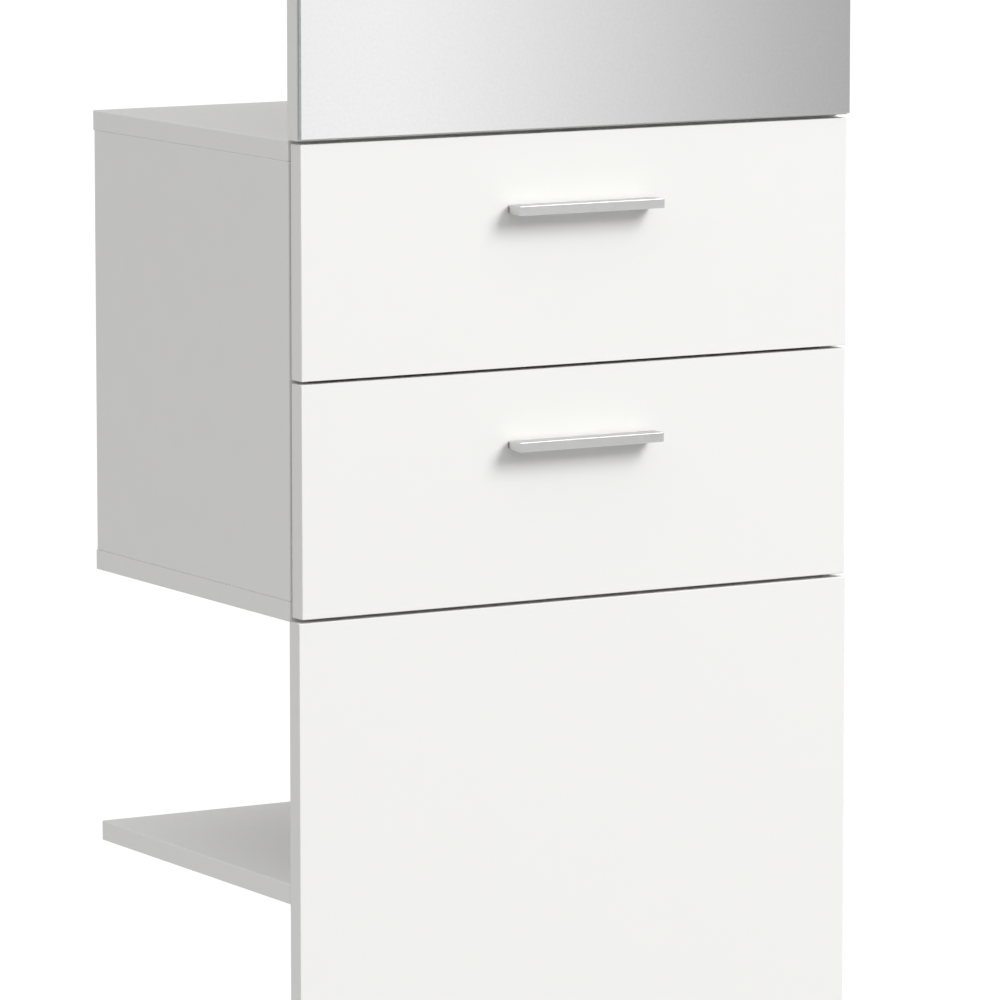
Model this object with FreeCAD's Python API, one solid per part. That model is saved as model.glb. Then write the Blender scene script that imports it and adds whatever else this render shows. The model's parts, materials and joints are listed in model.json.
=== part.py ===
import FreeCAD, Part
import os

Vector = FreeCAD.Vector
X = Vector(1, 0, 0)
Y = Vector(0, 1, 0)
Z = Vector(0, 0, 1)

# Tall hall unit: mirror panel above, box with two drawers in the middle, open shelves below.
# Millimetres. X runs across the front, Y from front to back, Z up from the floor.
# X = 0 is mid width, Y = 0 is halfway between the handles' fronts and the rear edges.

# ---- Driving dimensions ----

# Boards
board = 16.0
drawer_board = 12.0
hardboard = 3.0

# Drawer box of the cabinet
case_width = 500.0
case_height = 373.0
cap_depth = 328.0             # top and bottom board of the box, and the board on top of the unit
side_setback = 2.0            # of the sides' and uprights' rear edges, from the caps'
back_from_rear = 10.0         # from the sides' rear edges to the hardboard back
groove_depth = 6.0
groove_fit = 0.3

# Lower section
compartment_height = 206.0
lower_levels = 3
shelf_setback = 8.0           # of the shelves' rear edges, from the caps'
lower_panel_overhang = 0.5    # past the box at each side
lower_panel_lap = 0.5         # up over the box's front edge
lower_panel_floor_gap = 6.0

# Upper section
upper_height = 871.0
mirror_panel_overhang = 0.75
mirror_panel_gap = 0.5        # above the box
mirror_panel_top_drop = 1.0
mirror_inset = 1.3
mirror_thickness = 3.0
tape_thickness = 1.0
tape_width = 20.0
tape_end_margin = 60.0
tape_edge_margin = 45.0       # from the panel's edge to the middle of the outer strips

# Drawer fronts
front_side_inset = 1.5
front_standoff = 1.2          # between the box and the backs of the fronts
reveal_bottom = 3.5
reveal_between = 2.5
reveal_top = 2.2

# Drawer bodies
drawer_rear_clearance = 14.2  # between the drawer and the box's back
drawer_top_drop = 35.7        # from the front's upper edge to the sides' upper edges
bottom_rise = 8.0
bottom_groove_depth = 5.0
bottom_edge_fit = 0.3

# Handles: a cast shell, open below, on a foot at each end
handle_length = 131.5
handle_height = 7.5
handle_projection = 20.0
handle_drop = 58.0            # from the front's upper edge to the handle's middle
handle_standoff = 4.0
handle_top_wall = 2.0
handle_lip = 2.5
handle_end_wall = 3.0
handle_foot_length = 8.0
handle_foot_inset = 1.0
handle_screw_spacing = 96.0
handle_boss_width = 9.0
handle_thread_depth = 9.0
handle_screw_radius = 2.0
handle_screw_fit = 0.05
handle_screw_hole_radius = 2.6
handle_screw_head_radius = 4.0
handle_screw_head_height = 2.4

# Roller runners
runner_sheet = 1.2
runner_floor_gap = 12.0       # between the box's bottom board and the lower runner
runner_setback = 1.0          # from the box's front edge
runner_lip = 5.0
lip_clearance = 0.8
roller_radius = 8.5
roller_width = 6.2
roller_gap = 0.3              # between a roller and the flange that it carries or runs on
roller_end = 11.0             # from a member's end to its roller's axle
roller_lift = 2.3             # front roller above its own member's lower flange
axle_radius = 2.5
axle_fit = 0.05
axle_shoulder_radius = 4.0
axle_shoulder = 1.0
axle_play = 0.2
axle_head = 0.7
axle_head_clearance = 1.8     # between a pin's head and the other member's web
drawer_member_lift = 1.0      # drawer member's underside above the cabinet member's

# Wood screws
screw_radius = 2.0
screw_fit = 0.05
screw_head_radius = 3.6
screw_head_height = 1.3
screw_length = 12.0
back_screw_length = 30.0
screw_end_gap = 0.5
runner_screw_places = (62.0, 190.0)
drawer_screw_places = (45.0, 225.0)
drawer_screw_offset = 4.0     # in from the drawer side's outer face
drawer_joint_margins = (35.0, 20.0)    # from a drawer side's lower and upper edge to its fixings

# Dowels
dowel_radius = 4.0
dowel_fit = 0.1
dowel_in_face = 11.0
dowel_in_edge = 19.0
dowel_end_gap = 0.8

# Cam fittings
bolt_thread_radius = 2.5
bolt_shank_radius = 2.4
bolt_head_radius = 3.2
bolt_head_length = 3.0
bolt_in_face = 10.0
bolt_fit = 0.05
bolt_hole_radius = 4.0
cam_reach = 24.0              # from the joint to the disc's middle
cam_radius = 7.5
cam_fit = 0.1
cam_floor = 2.5               # board left under the disc, less its end gap
cam_end_gap = 0.2
cam_slot_radius = 3.5
cam_slot_past_middle = 1.0
cam_drive_radius = 2.2
cam_drive_depth = 2.0

# Fittings along each joint: how far in from the front end and from the rear end
side_dowel_margins = (52.0, 86.0)
side_cam_margins = (30.0, 56.0)
upright_dowel_margins = (50.0, 46.0)
upright_cam_margins = (110.0, 106.0)
shelf_dowel_margins = {-1: (45.0, 85.0), 1: (75.0, 55.0)}
shelf_cam_shift = {-1: -20.0, 1: 10.0}    # from mid depth, so that two bolts miss each other in the upright
panel_dowel_margins = (52.0, 45.0)        # from the upright's face and from the box's side
mirror_dowel_margins = (120.0, 131.0)     # from the upper section's lower and upper end
mirror_cam_margins = (200.0, 211.0)

# Gliders
glider_radius = 12.0
glider_height = 5.0
glider_nail_radius = 1.2
glider_nail_length = 11.0
glider_fit = 0.05
glider_inset = 25.0

# Coat hooks
hook_drop = 171.0             # below the unit's top
hook_margins = (90.0, 76.0)   # from the upright's front and rear edge
hook_rose_radius = 14.0
hook_rose = 3.0
hook_stem_radius = 5.0
hook_stem = 42.0
hook_knob_radius = 11.0
hook_knob = 6.0
stud_radius = 2.5
stud_fit = 0.05
stud_in_hook = 14.0
stud_end_gap = 0.5

# Wall brackets
bracket_sheet = 2.0
bracket_width = 22.0
bracket_leaf = 40.0
bracket_wall_leaf = 30.0
bracket_spacing = 300.0
bracket_hole_radius = 2.75
bracket_hole_drop = 18.0
bracket_screw_places = (14.0, 28.0)

# ---- Planes worked out from the driving dimensions ----

front_reach = handle_projection + board + front_standoff
case_front = front_reach - (front_reach + cap_depth) / 2
fronts_back = case_front - front_standoff
rear = case_front + cap_depth

half_width = case_width / 2
inner_half_width = half_width - board
side_depth = cap_depth - side_setback
shelf_depth = cap_depth - shelf_setback

base_bottom = glider_height
base_top = base_bottom + board
level_pitch = compartment_height + board
case_bottom = base_top + lower_levels * level_pitch - board
case_top = case_bottom + case_height
unit_top = case_top + upper_height
upper_upright_top = unit_top - board

front_height = (case_height - reveal_bottom - reveal_between - reveal_top) / 2
front_half_width = half_width - front_side_inset

axle_stack = axle_shoulder + 2 * axle_play + roller_width + axle_head
drawer_side_space = 2 * runner_sheet + axle_stack + axle_head_clearance
drawer_rise = board - reveal_bottom + runner_floor_gap + drawer_member_lift + runner_sheet
drawer_side_height = front_height - drawer_rise - drawer_top_drop
drawer_length = side_depth - back_from_rear - hardboard - drawer_rear_clearance + front_standoff
runner_length = drawer_length

front_axle_height = runner_sheet + roller_lift + roller_radius
rail_height = front_axle_height + roller_radius + roller_gap
runner_height = rail_height + runner_sheet + lip_clearance + runner_sheet
rear_axle_height = runner_sheet + roller_gap + roller_radius

panel_dowels_across = (board / 2 + panel_dowel_margins[0], half_width - panel_dowel_margins[1])
panel_cam_across = sum(panel_dowels_across) / 2

hands = {"left": -1, "right": 1}
drawers = {"lower": 0, "upper": 1}

nodes = {}
cuts = {}


# ---- Helpers ----

def block(x_range, y_range, z_range):
    """A box from its low and high limit along each axis."""
    corner = Vector(x_range[0], y_range[0], z_range[0])
    size = Vector(x_range[1], y_range[1], z_range[1]) - corner
    return Part.makeBox(size.x, size.y, size.z, corner)


def rod(start, along, radius, length):
    return Part.makeCylinder(radius, length, start, along)


def mirrored(hand, near, far):
    """The x range between two distances from mid width, on one hand."""
    return tuple(sorted((hand * near, hand * far)))


def inward(hand, near, far):
    """The x range between two distances in from a box side's inner face."""
    return mirrored(hand, inner_half_width - near, inner_half_width - far)


def between(length, margins):
    """Two places along a length, each a margin in from one end."""
    return (margins[0], length - margins[1])


def add(name, *solids):
    nodes.setdefault(name, []).extend(solids)


def drill(name, start, along, radius, depth):
    """Note a round hole to be cut in a node."""
    cuts.setdefault(name, []).append(rod(start, along, radius, depth))


def carve(name, tool):
    cuts.setdefault(name, []).append(tool)


def dowel(face_board, edge_board, at, into_edge):
    """A dowel across the joint at a point, half in a face and half in an edge."""
    foot = at - into_edge * dowel_in_face
    add("wood_dowels", rod(foot, into_edge, dowel_radius, dowel_in_face + dowel_in_edge))
    hole_radius = dowel_radius + dowel_fit
    drill(face_board, at, -into_edge, hole_radius, dowel_in_face + dowel_end_gap)
    drill(edge_board, at, into_edge, hole_radius, dowel_in_edge + dowel_end_gap)


def cam(face_board, edge_board, at, into_edge, open_side, thickness, bolt_node, disc_node):
    """A bolt in a face, held by a disc let into the other board's open side."""
    foot = at - into_edge * bolt_in_face
    middle = at + into_edge * cam_reach
    thread = rod(foot, into_edge, bolt_thread_radius, bolt_in_face)
    shank = rod(at, into_edge, bolt_shank_radius, cam_reach)
    head = rod(middle - into_edge * bolt_head_length, into_edge, bolt_head_radius, bolt_head_length)
    add(bolt_node, thread.fuse([shank, head]).removeSplitter())

    disc_height = thickness - cam_floor
    surface = middle + open_side * (thickness / 2)
    disc = rod(surface, -open_side, cam_radius, disc_height)
    slot_length = cam_radius + cam_slot_past_middle
    slot = rod(middle - into_edge * cam_radius, into_edge, cam_slot_radius, slot_length)
    drive = rod(surface, -open_side, cam_drive_radius, cam_drive_depth)
    add(disc_node, disc.cut([slot, drive]))

    drill(face_board, at, -into_edge, bolt_thread_radius + bolt_fit, bolt_in_face + bolt_fit)
    drill(edge_board, at, into_edge, bolt_hole_radius, cam_reach)
    drill(edge_board, surface, -open_side, cam_radius + cam_fit, disc_height + cam_end_gap)


def wood_screw(screw_node, through, at, into, length):
    """A pan-head screw whose head rests at a point, with its hole in each node that it passes."""
    head = rod(at, -into, screw_head_radius, screw_head_height)
    shank = rod(at, into, screw_radius, length)
    add(screw_node, head.fuse(shank))
    for name in through:
        drill(name, at, into, screw_radius + screw_fit, length + screw_end_gap)


# ---- Lower section: base, upright, shelves and front panel ----

def make_base():
    limits = (case_front, case_front + side_depth)
    add("base_board", block((-half_width, half_width), limits, (base_bottom, base_top)))
    for hand in hands.values():
        for y in (case_front + glider_inset, case_front + side_depth - glider_inset):
            at = Vector(hand * (half_width - glider_inset), y, base_bottom)
            foot = rod(at, -Z, glider_radius, glider_height)
            nail = rod(at, Z, glider_nail_radius, glider_nail_length)
            add("floor_gliders", foot.fuse(nail))
            drill("base_board", at, Z, glider_nail_radius + glider_fit, glider_nail_length + glider_fit)


def join_upright(upright, below, above, low, high):
    """Dowels and cam fittings at both ends of an upright."""
    for face_board, z, into_edge in ((below, low, Z), (above, high, -Z)):
        for place in between(side_depth, upright_dowel_margins):
            dowel(face_board, upright, Vector(0, case_front + place, z), into_edge)
        for place in between(side_depth, upright_cam_margins):
            at = Vector(0, case_front + place, z)
            cam(face_board, upright, at, into_edge, X, board, "cam_bolts", "cam_discs")


def make_lower_upright():
    limits = (case_front, case_front + side_depth)
    add("lower_upright", block((-board / 2, board / 2), limits, (base_top, case_bottom)))
    join_upright("lower_upright", "base_board", "box_bottom_board", base_top, case_bottom)


def make_shelf(name, hand, level):
    """A shelf at one side of the upright, held by the upright and by the front panel."""
    middle = base_top + level * level_pitch - board / 2
    span = mirrored(hand, board / 2, half_width + lower_panel_overhang)
    heights = (middle - board / 2, middle + board / 2)
    add(name, block(span, (case_front, case_front + shelf_depth), heights))
    outward = X * hand
    for place in between(shelf_depth, shelf_dowel_margins[hand]):
        at = Vector(hand * board / 2, case_front + place, middle)
        dowel("lower_upright", name, at, outward)
    at = Vector(hand * board / 2, case_front + shelf_depth / 2 + shelf_cam_shift[hand], middle)
    cam("lower_upright", name, at, outward, -Z, board, "cam_bolts", "cam_discs")
    join_panel_edge(name, "lower_front_panel", hand, middle)


def join_panel_edge(name, panel, hand, middle):
    """Fittings between a board's front edge and the panel in front of it, on one hand."""
    for across in panel_dowels_across:
        dowel(panel, name, Vector(hand * across, case_front, middle), Y)
    at = Vector(hand * panel_cam_across, case_front, middle)
    cam(panel, name, at, Y, -Z, board, "cam_bolts", "cam_discs")


def make_lower_panel():
    reach = half_width + lower_panel_overhang
    heights = (lower_panel_floor_gap, case_bottom + lower_panel_lap)
    add("lower_front_panel", block((-reach, reach), (case_front - board, case_front), heights))
    for hand in hands.values():
        join_panel_edge("base_board", "lower_front_panel", hand, base_top - board / 2)
    for level in range(lower_levels):
        height = base_top + level * level_pitch + compartment_height / 2
        dowel("lower_front_panel", "lower_upright", Vector(0, case_front, height), Y)


# ---- Drawer box ----

def make_case():
    across = (-half_width, half_width)
    cap_limits = (case_front, case_front + cap_depth)
    side_limits = (case_front, case_front + side_depth)
    inner_bottom = case_bottom + board
    inner_top = case_top - board
    add("box_bottom_board", block(across, cap_limits, (case_bottom, inner_bottom)))
    add("box_top_board", block(across, cap_limits, (inner_top, case_top)))
    for side, hand in hands.items():
        name = f"box_{side}_side"
        add(name, block(mirrored(hand, inner_half_width, half_width), side_limits, (inner_bottom, inner_top)))
        x = hand * (half_width - board / 2)
        for cap, z, into_edge in (("box_bottom_board", inner_bottom, Z), ("box_top_board", inner_top, -Z)):
            for place in between(side_depth, side_dowel_margins):
                dowel(cap, name, Vector(x, case_front + place, z), into_edge)
            for place in between(side_depth, side_cam_margins):
                at = Vector(x, case_front + place, z)
                cam(cap, name, at, into_edge, X * -hand, board, "cam_bolts", "cam_discs")
    make_case_back(inner_bottom, inner_top)


def make_case_back(inner_bottom, inner_top):
    """The hardboard back, held in a groove all round."""
    back_rear = case_front + side_depth - back_from_rear
    limits = (back_rear - hardboard, back_rear)
    reach = groove_depth - groove_fit
    half_span = inner_half_width + reach
    add("box_back_panel", block((-half_span, half_span), limits, (inner_bottom - reach, inner_top + reach)))
    groove_half = inner_half_width + groove_depth
    groove_heights = (inner_bottom - groove_depth, inner_top + groove_depth)
    groove_limits = (limits[0] - groove_fit / 2, limits[1] + groove_fit / 2)
    groove = block((-groove_half, groove_half), groove_limits, groove_heights)
    for name in ("box_bottom_board", "box_top_board", "box_left_side", "box_right_side"):
        carve(name, groove)


# ---- Upper section: upright, mirror panel, mirror, top board and what is fixed to them ----

def make_upper_upright():
    limits = (case_front, case_front + side_depth)
    add("upper_upright", block((-board / 2, board / 2), limits, (case_top, upper_upright_top)))
    join_upright("upper_upright", "box_top_board", "top_board", case_top, upper_upright_top)
    dowel_heights = between(upper_height, mirror_dowel_margins)
    for height in dowel_heights + (sum(dowel_heights) / 2,):
        dowel("mirror_panel", "upper_upright", Vector(0, case_front, case_top + height), Y)
    for height in between(upper_height, mirror_cam_margins):
        at = Vector(0, case_front, case_top + height)
        cam("mirror_panel", "upper_upright", at, Y, X, board, "cam_bolts", "cam_discs")


def make_top_board():
    across = (-half_width, half_width)
    add("top_board", block(across, (case_front, rear), (upper_upright_top, unit_top)))
    middle = unit_top - board / 2
    for hand in hands.values():
        join_panel_edge("top_board", "mirror_panel", hand, middle)


def make_mirror():
    reach = half_width + mirror_panel_overhang
    panel_bottom = case_top + mirror_panel_gap
    panel_top = unit_top - mirror_panel_top_drop
    panel_front = case_front - board
    glass_back = panel_front - tape_thickness
    add("mirror_panel", block((-reach, reach), (panel_front, case_front), (panel_bottom, panel_top)))
    glass_reach = reach - mirror_inset
    glass_heights = (panel_bottom + mirror_inset, panel_top - mirror_inset)
    glass = block((-glass_reach, glass_reach), (glass_back - mirror_thickness, glass_back), glass_heights)
    add("mirror_glass", glass)
    tape_heights = (panel_bottom + tape_end_margin, panel_top - tape_end_margin)
    outer = reach - tape_edge_margin
    for place in (-outer, -outer / 3, outer / 3, outer):
        across = (place - tape_width / 2, place + tape_width / 2)
        add("mirror_tape", block(across, (glass_back, panel_front), tape_heights))


def make_coat_hooks():
    """Turned pegs in pairs, one at each side of the upright, on a stud right through it."""
    for place in between(side_depth, hook_margins):
        centre = Vector(0, case_front + place, unit_top - hook_drop)
        half_stud = board / 2 + stud_in_hook
        add("coat_hook_studs", rod(centre - X * half_stud, X, stud_radius, 2 * half_stud))
        drill("upper_upright", centre - X * board, X, stud_radius + stud_fit, 2 * board)
        for hand in hands.values():
            outward = X * hand
            foot = centre + outward * (board / 2)
            rose = rod(foot, outward, hook_rose_radius, hook_rose)
            stem = rod(foot, outward, hook_stem_radius, hook_rose + hook_stem)
            knob = rod(foot + outward * (hook_rose + hook_stem), outward, hook_knob_radius, hook_knob)
            bore = rod(foot, outward, stud_radius + stud_fit, stud_in_hook + stud_end_gap)
            add("coat_hooks", rose.fuse([stem, knob]).cut(bore))


def make_wall_brackets():
    """Steel angles under the top board, with a hole towards the wall."""
    for hand in hands.values():
        x = hand * bracket_spacing / 2
        across = (x - bracket_width / 2, x + bracket_width / 2)
        low = upper_upright_top - bracket_sheet
        flat = block(across, (rear - bracket_leaf, rear), (low, upper_upright_top))
        wall_leaf_heights = (upper_upright_top - bracket_wall_leaf, upper_upright_top)
        upright_leaf = block(across, (rear - bracket_sheet, rear), wall_leaf_heights)
        hole_start = Vector(x, rear - bracket_leaf, upper_upright_top - bracket_hole_drop)
        hole = rod(hole_start, Y, bracket_hole_radius, 2 * bracket_leaf)
        add("wall_brackets", flat.fuse(upright_leaf).cut(hole))
        for place in bracket_screw_places:
            at = Vector(x, rear - place, low)
            wood_screw("wood_screws", ("wall_brackets", "top_board"), at, Z, screw_length)


# ---- Runners ----

def runner_base(level):
    """Underside of the cabinet member for one drawer."""
    return drawer_side_bottom(level) - runner_sheet - drawer_member_lift


def axle(start, along):
    """A stepped pin riveted in a runner member, with a head that keeps the roller on."""
    shoulder = rod(start, along, axle_shoulder_radius, axle_shoulder)
    journal_length = axle_shoulder + 2 * axle_play + roller_width
    journal = rod(start, along, axle_radius, journal_length)
    head = rod(start + along * journal_length, along, axle_shoulder_radius, axle_head)
    return [shoulder, journal, head]


def roller(start, along):
    """A nylon roller on the axle that starts at a point on its member's web."""
    near = start + along * (axle_shoulder + axle_play)
    tyre = rod(near, along, roller_radius, roller_width)
    return tyre.cut(rod(near, along, axle_radius + axle_fit, roller_width))


def make_cabinet_runner(drawer, level, side, hand):
    name = f"cabinet_runner_{drawer}_{side}"
    low = runner_base(level)
    high = low + runner_height
    near_end = case_front + runner_setback
    limits = (near_end, near_end + runner_length)
    web = block(inward(hand, 0, runner_sheet), limits, (low, high))
    track = block(inward(hand, 0, runner_sheet + axle_stack), limits, (low, low + runner_sheet))
    lip = block(inward(hand, 0, runner_lip), limits, (high - runner_sheet, high))
    axle_x = hand * (inner_half_width - runner_sheet)
    axle_start = Vector(axle_x, near_end + roller_end, low + front_axle_height)
    member = web.fuse([track, lip] + axle(axle_start, X * -hand)).removeSplitter()
    add(name, member)
    add(f"front_roller_{drawer}_{side}", roller(axle_start, X * -hand))
    for place in runner_screw_places:
        at = Vector(axle_x, near_end + place, low + front_axle_height)
        wood_screw("wood_screws", (name, f"box_{side}_side"), at, X * hand, screw_length)


def make_drawer_runner(drawer, level, side, hand):
    name = f"{drawer}_drawer_runner_{side}"
    low = runner_base(level) + drawer_member_lift
    rail = runner_base(level) + rail_height
    limits = (fronts_back, fronts_back + runner_length)
    web_far = drawer_side_space
    web_near = web_far - runner_sheet
    web = block(inward(hand, web_near, web_far), limits, (low, rail + runner_sheet))
    rest_far = drawer_side_space + drawer_board
    rest = block(inward(hand, web_near, rest_far), limits, (low, low + runner_sheet))
    flange = block(inward(hand, web_near - axle_stack, web_far), limits, (rail, rail + runner_sheet))
    axle_height = runner_base(level) + rear_axle_height
    axle_start = Vector(hand * (inner_half_width - web_near), limits[1] - roller_end, axle_height)
    add(name, web.fuse([rest, flange] + axle(axle_start, X * hand)).removeSplitter())
    add(f"rear_roller_{drawer}_{side}", roller(axle_start, X * hand))
    screw_x = hand * (inner_half_width - drawer_side_space - drawer_screw_offset)
    for place in drawer_screw_places:
        at = Vector(screw_x, fronts_back + place, low)
        wood_screw(f"{drawer}_drawer_screws", (name, f"{drawer}_drawer_side_{side}"), at, Z, screw_length)


# ---- Drawers ----

def front_bottom(level):
    return case_bottom + reveal_bottom + level * (front_height + reveal_between)


def drawer_side_bottom(level):
    return front_bottom(level) + drawer_rise


def make_drawer_side(drawer, level, side, hand):
    """A drawer side, fixed to the front by cam fittings and to the back by screws."""
    name = f"{drawer}_drawer_side_{side}"
    low = drawer_side_bottom(level)
    outer = drawer_side_space
    inner = drawer_side_space + drawer_board
    limits = (fronts_back, fronts_back + drawer_length)
    add(name, block(inward(hand, outer, inner), limits, (low, low + drawer_side_height)))
    x = hand * (inner_half_width - outer - drawer_board / 2)
    fittings = f"{drawer}_drawer_cam_fittings"
    for height in between(drawer_side_height, drawer_joint_margins):
        at = Vector(x, fronts_back, low + height)
        cam(f"{drawer}_drawer_front", name, at, Y, X * -hand, drawer_board, fittings, fittings)
        back_middle = fronts_back + drawer_length - drawer_board / 2
        head_at = Vector(hand * (inner_half_width - outer), back_middle, low + height)
        through = (name, f"{drawer}_drawer_back")
        wood_screw(f"{drawer}_drawer_screws", through, head_at, X * -hand, back_screw_length)


def make_drawer(drawer, level):
    front_node = f"{drawer}_drawer_front"
    low = front_bottom(level)
    front_limits = (fronts_back - board, fronts_back)
    add(front_node, block((-front_half_width, front_half_width), front_limits, (low, low + front_height)))
    for side, hand in hands.items():
        make_drawer_side(drawer, level, side, hand)
        make_drawer_runner(drawer, level, side, hand)
        make_cabinet_runner(drawer, level, side, hand)

    side_low = drawer_side_bottom(level)
    panel_low = side_low + bottom_rise
    panel_high = panel_low + hardboard
    half_inside = inner_half_width - drawer_side_space - drawer_board
    rear_face = fronts_back + drawer_length
    back_limits = (rear_face - drawer_board, rear_face)
    back_heights = (panel_high, side_low + drawer_side_height)
    add(f"{drawer}_drawer_back", block((-half_inside, half_inside), back_limits, back_heights))

    panel_reach = bottom_groove_depth - bottom_edge_fit
    panel_half = half_inside + panel_reach
    panel_limits = (fronts_back - panel_reach, rear_face)
    add(f"{drawer}_drawer_bottom", block((-panel_half, panel_half), panel_limits, (panel_low, panel_high)))
    groove_half = half_inside + bottom_groove_depth
    groove_heights = (panel_low, panel_high + groove_fit)
    side_groove = block((-groove_half, groove_half), (fronts_back, rear_face), groove_heights)
    front_groove_limits = (fronts_back - bottom_groove_depth, fronts_back)
    carve(front_node, block((-groove_half, groove_half), front_groove_limits, groove_heights))
    for side in hands:
        carve(f"{drawer}_drawer_side_{side}", side_groove)
    make_handle(drawer, level)


def make_handle(drawer, level):
    """A cast pull: top wall, front lip and end walls, with two threaded bosses inside."""
    face = fronts_back - board
    middle = front_bottom(level) + front_height - handle_drop
    low = middle - handle_height / 2
    high = middle + handle_height / 2
    half = handle_length / 2
    shell_limits = (face - handle_projection, face - handle_standoff)
    shell = block((-half, half), shell_limits, (low, high))
    hollow_half = half - handle_end_wall
    hollow_limits = (shell_limits[0] + handle_lip, face)
    hollow = block((-hollow_half, hollow_half), hollow_limits, (low, high - handle_top_wall))
    body = shell.cut(hollow)
    foot_heights = (low + handle_foot_inset, high - handle_foot_inset)
    foot_start = half - handle_foot_inset
    pieces = []
    for hand in hands.values():
        foot_span = mirrored(hand, foot_start - handle_foot_length, foot_start)
        foot_limits = (face - handle_standoff - handle_lip, face)
        pieces.append(block(foot_span, foot_limits, foot_heights))
        boss_x = hand * handle_screw_spacing / 2
        boss_span = (boss_x - handle_boss_width / 2, boss_x + handle_boss_width / 2)
        boss_limits = (shell_limits[0], face)
        pieces.append(block(boss_span, boss_limits, foot_heights))
        screw_from = Vector(boss_x, fronts_back, middle)
        head = rod(screw_from, Y, handle_screw_head_radius, handle_screw_head_height)
        shank_length = board + handle_thread_depth
        shank = rod(screw_from, -Y, handle_screw_radius, shank_length)
        add(f"{drawer}_handle_screws", head.fuse(shank))
        drill(f"{drawer}_drawer_front", screw_from, -Y, handle_screw_hole_radius, board)
        thread_start = Vector(boss_x, face, middle)
        thread_radius = handle_screw_radius + handle_screw_fit
        drill(f"{drawer}_handle", thread_start, -Y, thread_radius, handle_thread_depth + screw_end_gap)
    add(f"{drawer}_handle", body.fuse(pieces).removeSplitter())


# ---- Build and write ----

def build():
    make_base()
    make_lower_upright()
    for side, hand in hands.items():
        for level, place in ((1, "lower"), (2, "upper")):
            make_shelf(f"shelf_{side}_{place}", hand, level)
    make_lower_panel()
    make_case()
    make_upper_upright()
    make_top_board()
    make_mirror()
    make_coat_hooks()
    make_wall_brackets()
    for drawer, level in drawers.items():
        make_drawer(drawer, level)


def write():
    os.makedirs("parts", exist_ok=True)
    for name, solids in nodes.items():
        if name in cuts:
            solids = [solid.cut(cuts[name]) for solid in solids]
        shape = solids[0] if len(solids) == 1 else Part.makeCompound(solids)
        if not shape.isValid():
            raise ValueError(f"{name} is not a valid shape")
        shape.exportStep(f"parts/{name}.step")
        print(f"{name}: {len(shape.Solids)} solids, {shape.Volume / 1000:.1f} cm3")


build()
write()
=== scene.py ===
"""White hall unit: a mirror panel above, a box with two drawers in the middle and open shelves below.

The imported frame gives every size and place. Each operator finishes one kind of piece on it, and the last
one sets up the studio. Lengths are in metres.
"""

import functools
import itertools
import json
import math
from collections import namedtuple

import bmesh
import bpy
from bpy.props import FloatProperty, FloatVectorProperty, IntProperty, PointerProperty
from mathutils import Matrix, Vector

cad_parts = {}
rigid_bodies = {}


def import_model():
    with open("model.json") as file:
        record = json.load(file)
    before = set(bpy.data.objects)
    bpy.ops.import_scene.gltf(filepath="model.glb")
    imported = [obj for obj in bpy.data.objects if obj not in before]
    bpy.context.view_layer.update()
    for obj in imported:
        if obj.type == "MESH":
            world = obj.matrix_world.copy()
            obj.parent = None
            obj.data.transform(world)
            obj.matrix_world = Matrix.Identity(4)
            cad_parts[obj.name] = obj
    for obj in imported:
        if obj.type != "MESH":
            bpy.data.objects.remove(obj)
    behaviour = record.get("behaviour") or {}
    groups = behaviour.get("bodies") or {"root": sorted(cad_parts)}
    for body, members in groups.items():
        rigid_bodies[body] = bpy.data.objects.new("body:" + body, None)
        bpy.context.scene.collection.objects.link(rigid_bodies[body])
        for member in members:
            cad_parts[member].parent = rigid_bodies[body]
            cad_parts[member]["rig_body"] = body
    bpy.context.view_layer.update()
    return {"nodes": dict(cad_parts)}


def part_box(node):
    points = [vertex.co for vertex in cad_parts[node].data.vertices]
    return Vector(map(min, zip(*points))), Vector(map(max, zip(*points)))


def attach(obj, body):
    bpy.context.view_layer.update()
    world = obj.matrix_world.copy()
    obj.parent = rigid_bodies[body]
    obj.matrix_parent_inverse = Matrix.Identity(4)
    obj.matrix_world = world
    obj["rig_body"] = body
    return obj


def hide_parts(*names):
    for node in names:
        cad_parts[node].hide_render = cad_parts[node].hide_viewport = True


bl_info = {
    "name": "Hall Unit with Mirror and Drawers",
    "version": (1, 0, 0),
    "blender": (4, 5, 0),
    "location": "3D View > Sidebar > Hall Unit",
    "description": "Finishes the pieces of a white hall unit and sets up its studio",
    "category": "Object",
}

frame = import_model()

JOIN_DISTANCE = 2e-6
FLAT_ANGLE = math.radians(0.5)
SHARP_ANGLE = math.radians(30)
LIMIT_TOLERANCE = 1e-5
AXLE_CLEARANCE = 5e-5
WHITE = (1.0, 1.0, 1.0, 1.0)
WHITE_STRENGTH = 1.05

HANDS = {"left": -1, "right": 1}
DRAWERS = ("lower", "upper")

MELAMINE_BOARDS = (
    "base_board", "lower_upright", "shelf_left_lower", "shelf_left_upper", "shelf_right_lower",
    "shelf_right_upper", "lower_front_panel", "box_bottom_board", "box_left_side", "box_right_side",
    "box_top_board", "upper_upright", "mirror_panel", "top_board", "lower_drawer_front",
    "upper_drawer_front",
)


# ---- Settings ----

def length(name, description, default, **limits):
    """A length that a user may change, in metres."""
    return FloatProperty(name=name, description=description, default=default, unit="LENGTH", precision=5, **limits)


def colour(name, description, default):
    """A colour that a user may change."""
    return FloatVectorProperty(
        name=name, description=description, default=default, size=3, min=0.0, max=1.0, subtype="COLOR"
    )


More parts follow.
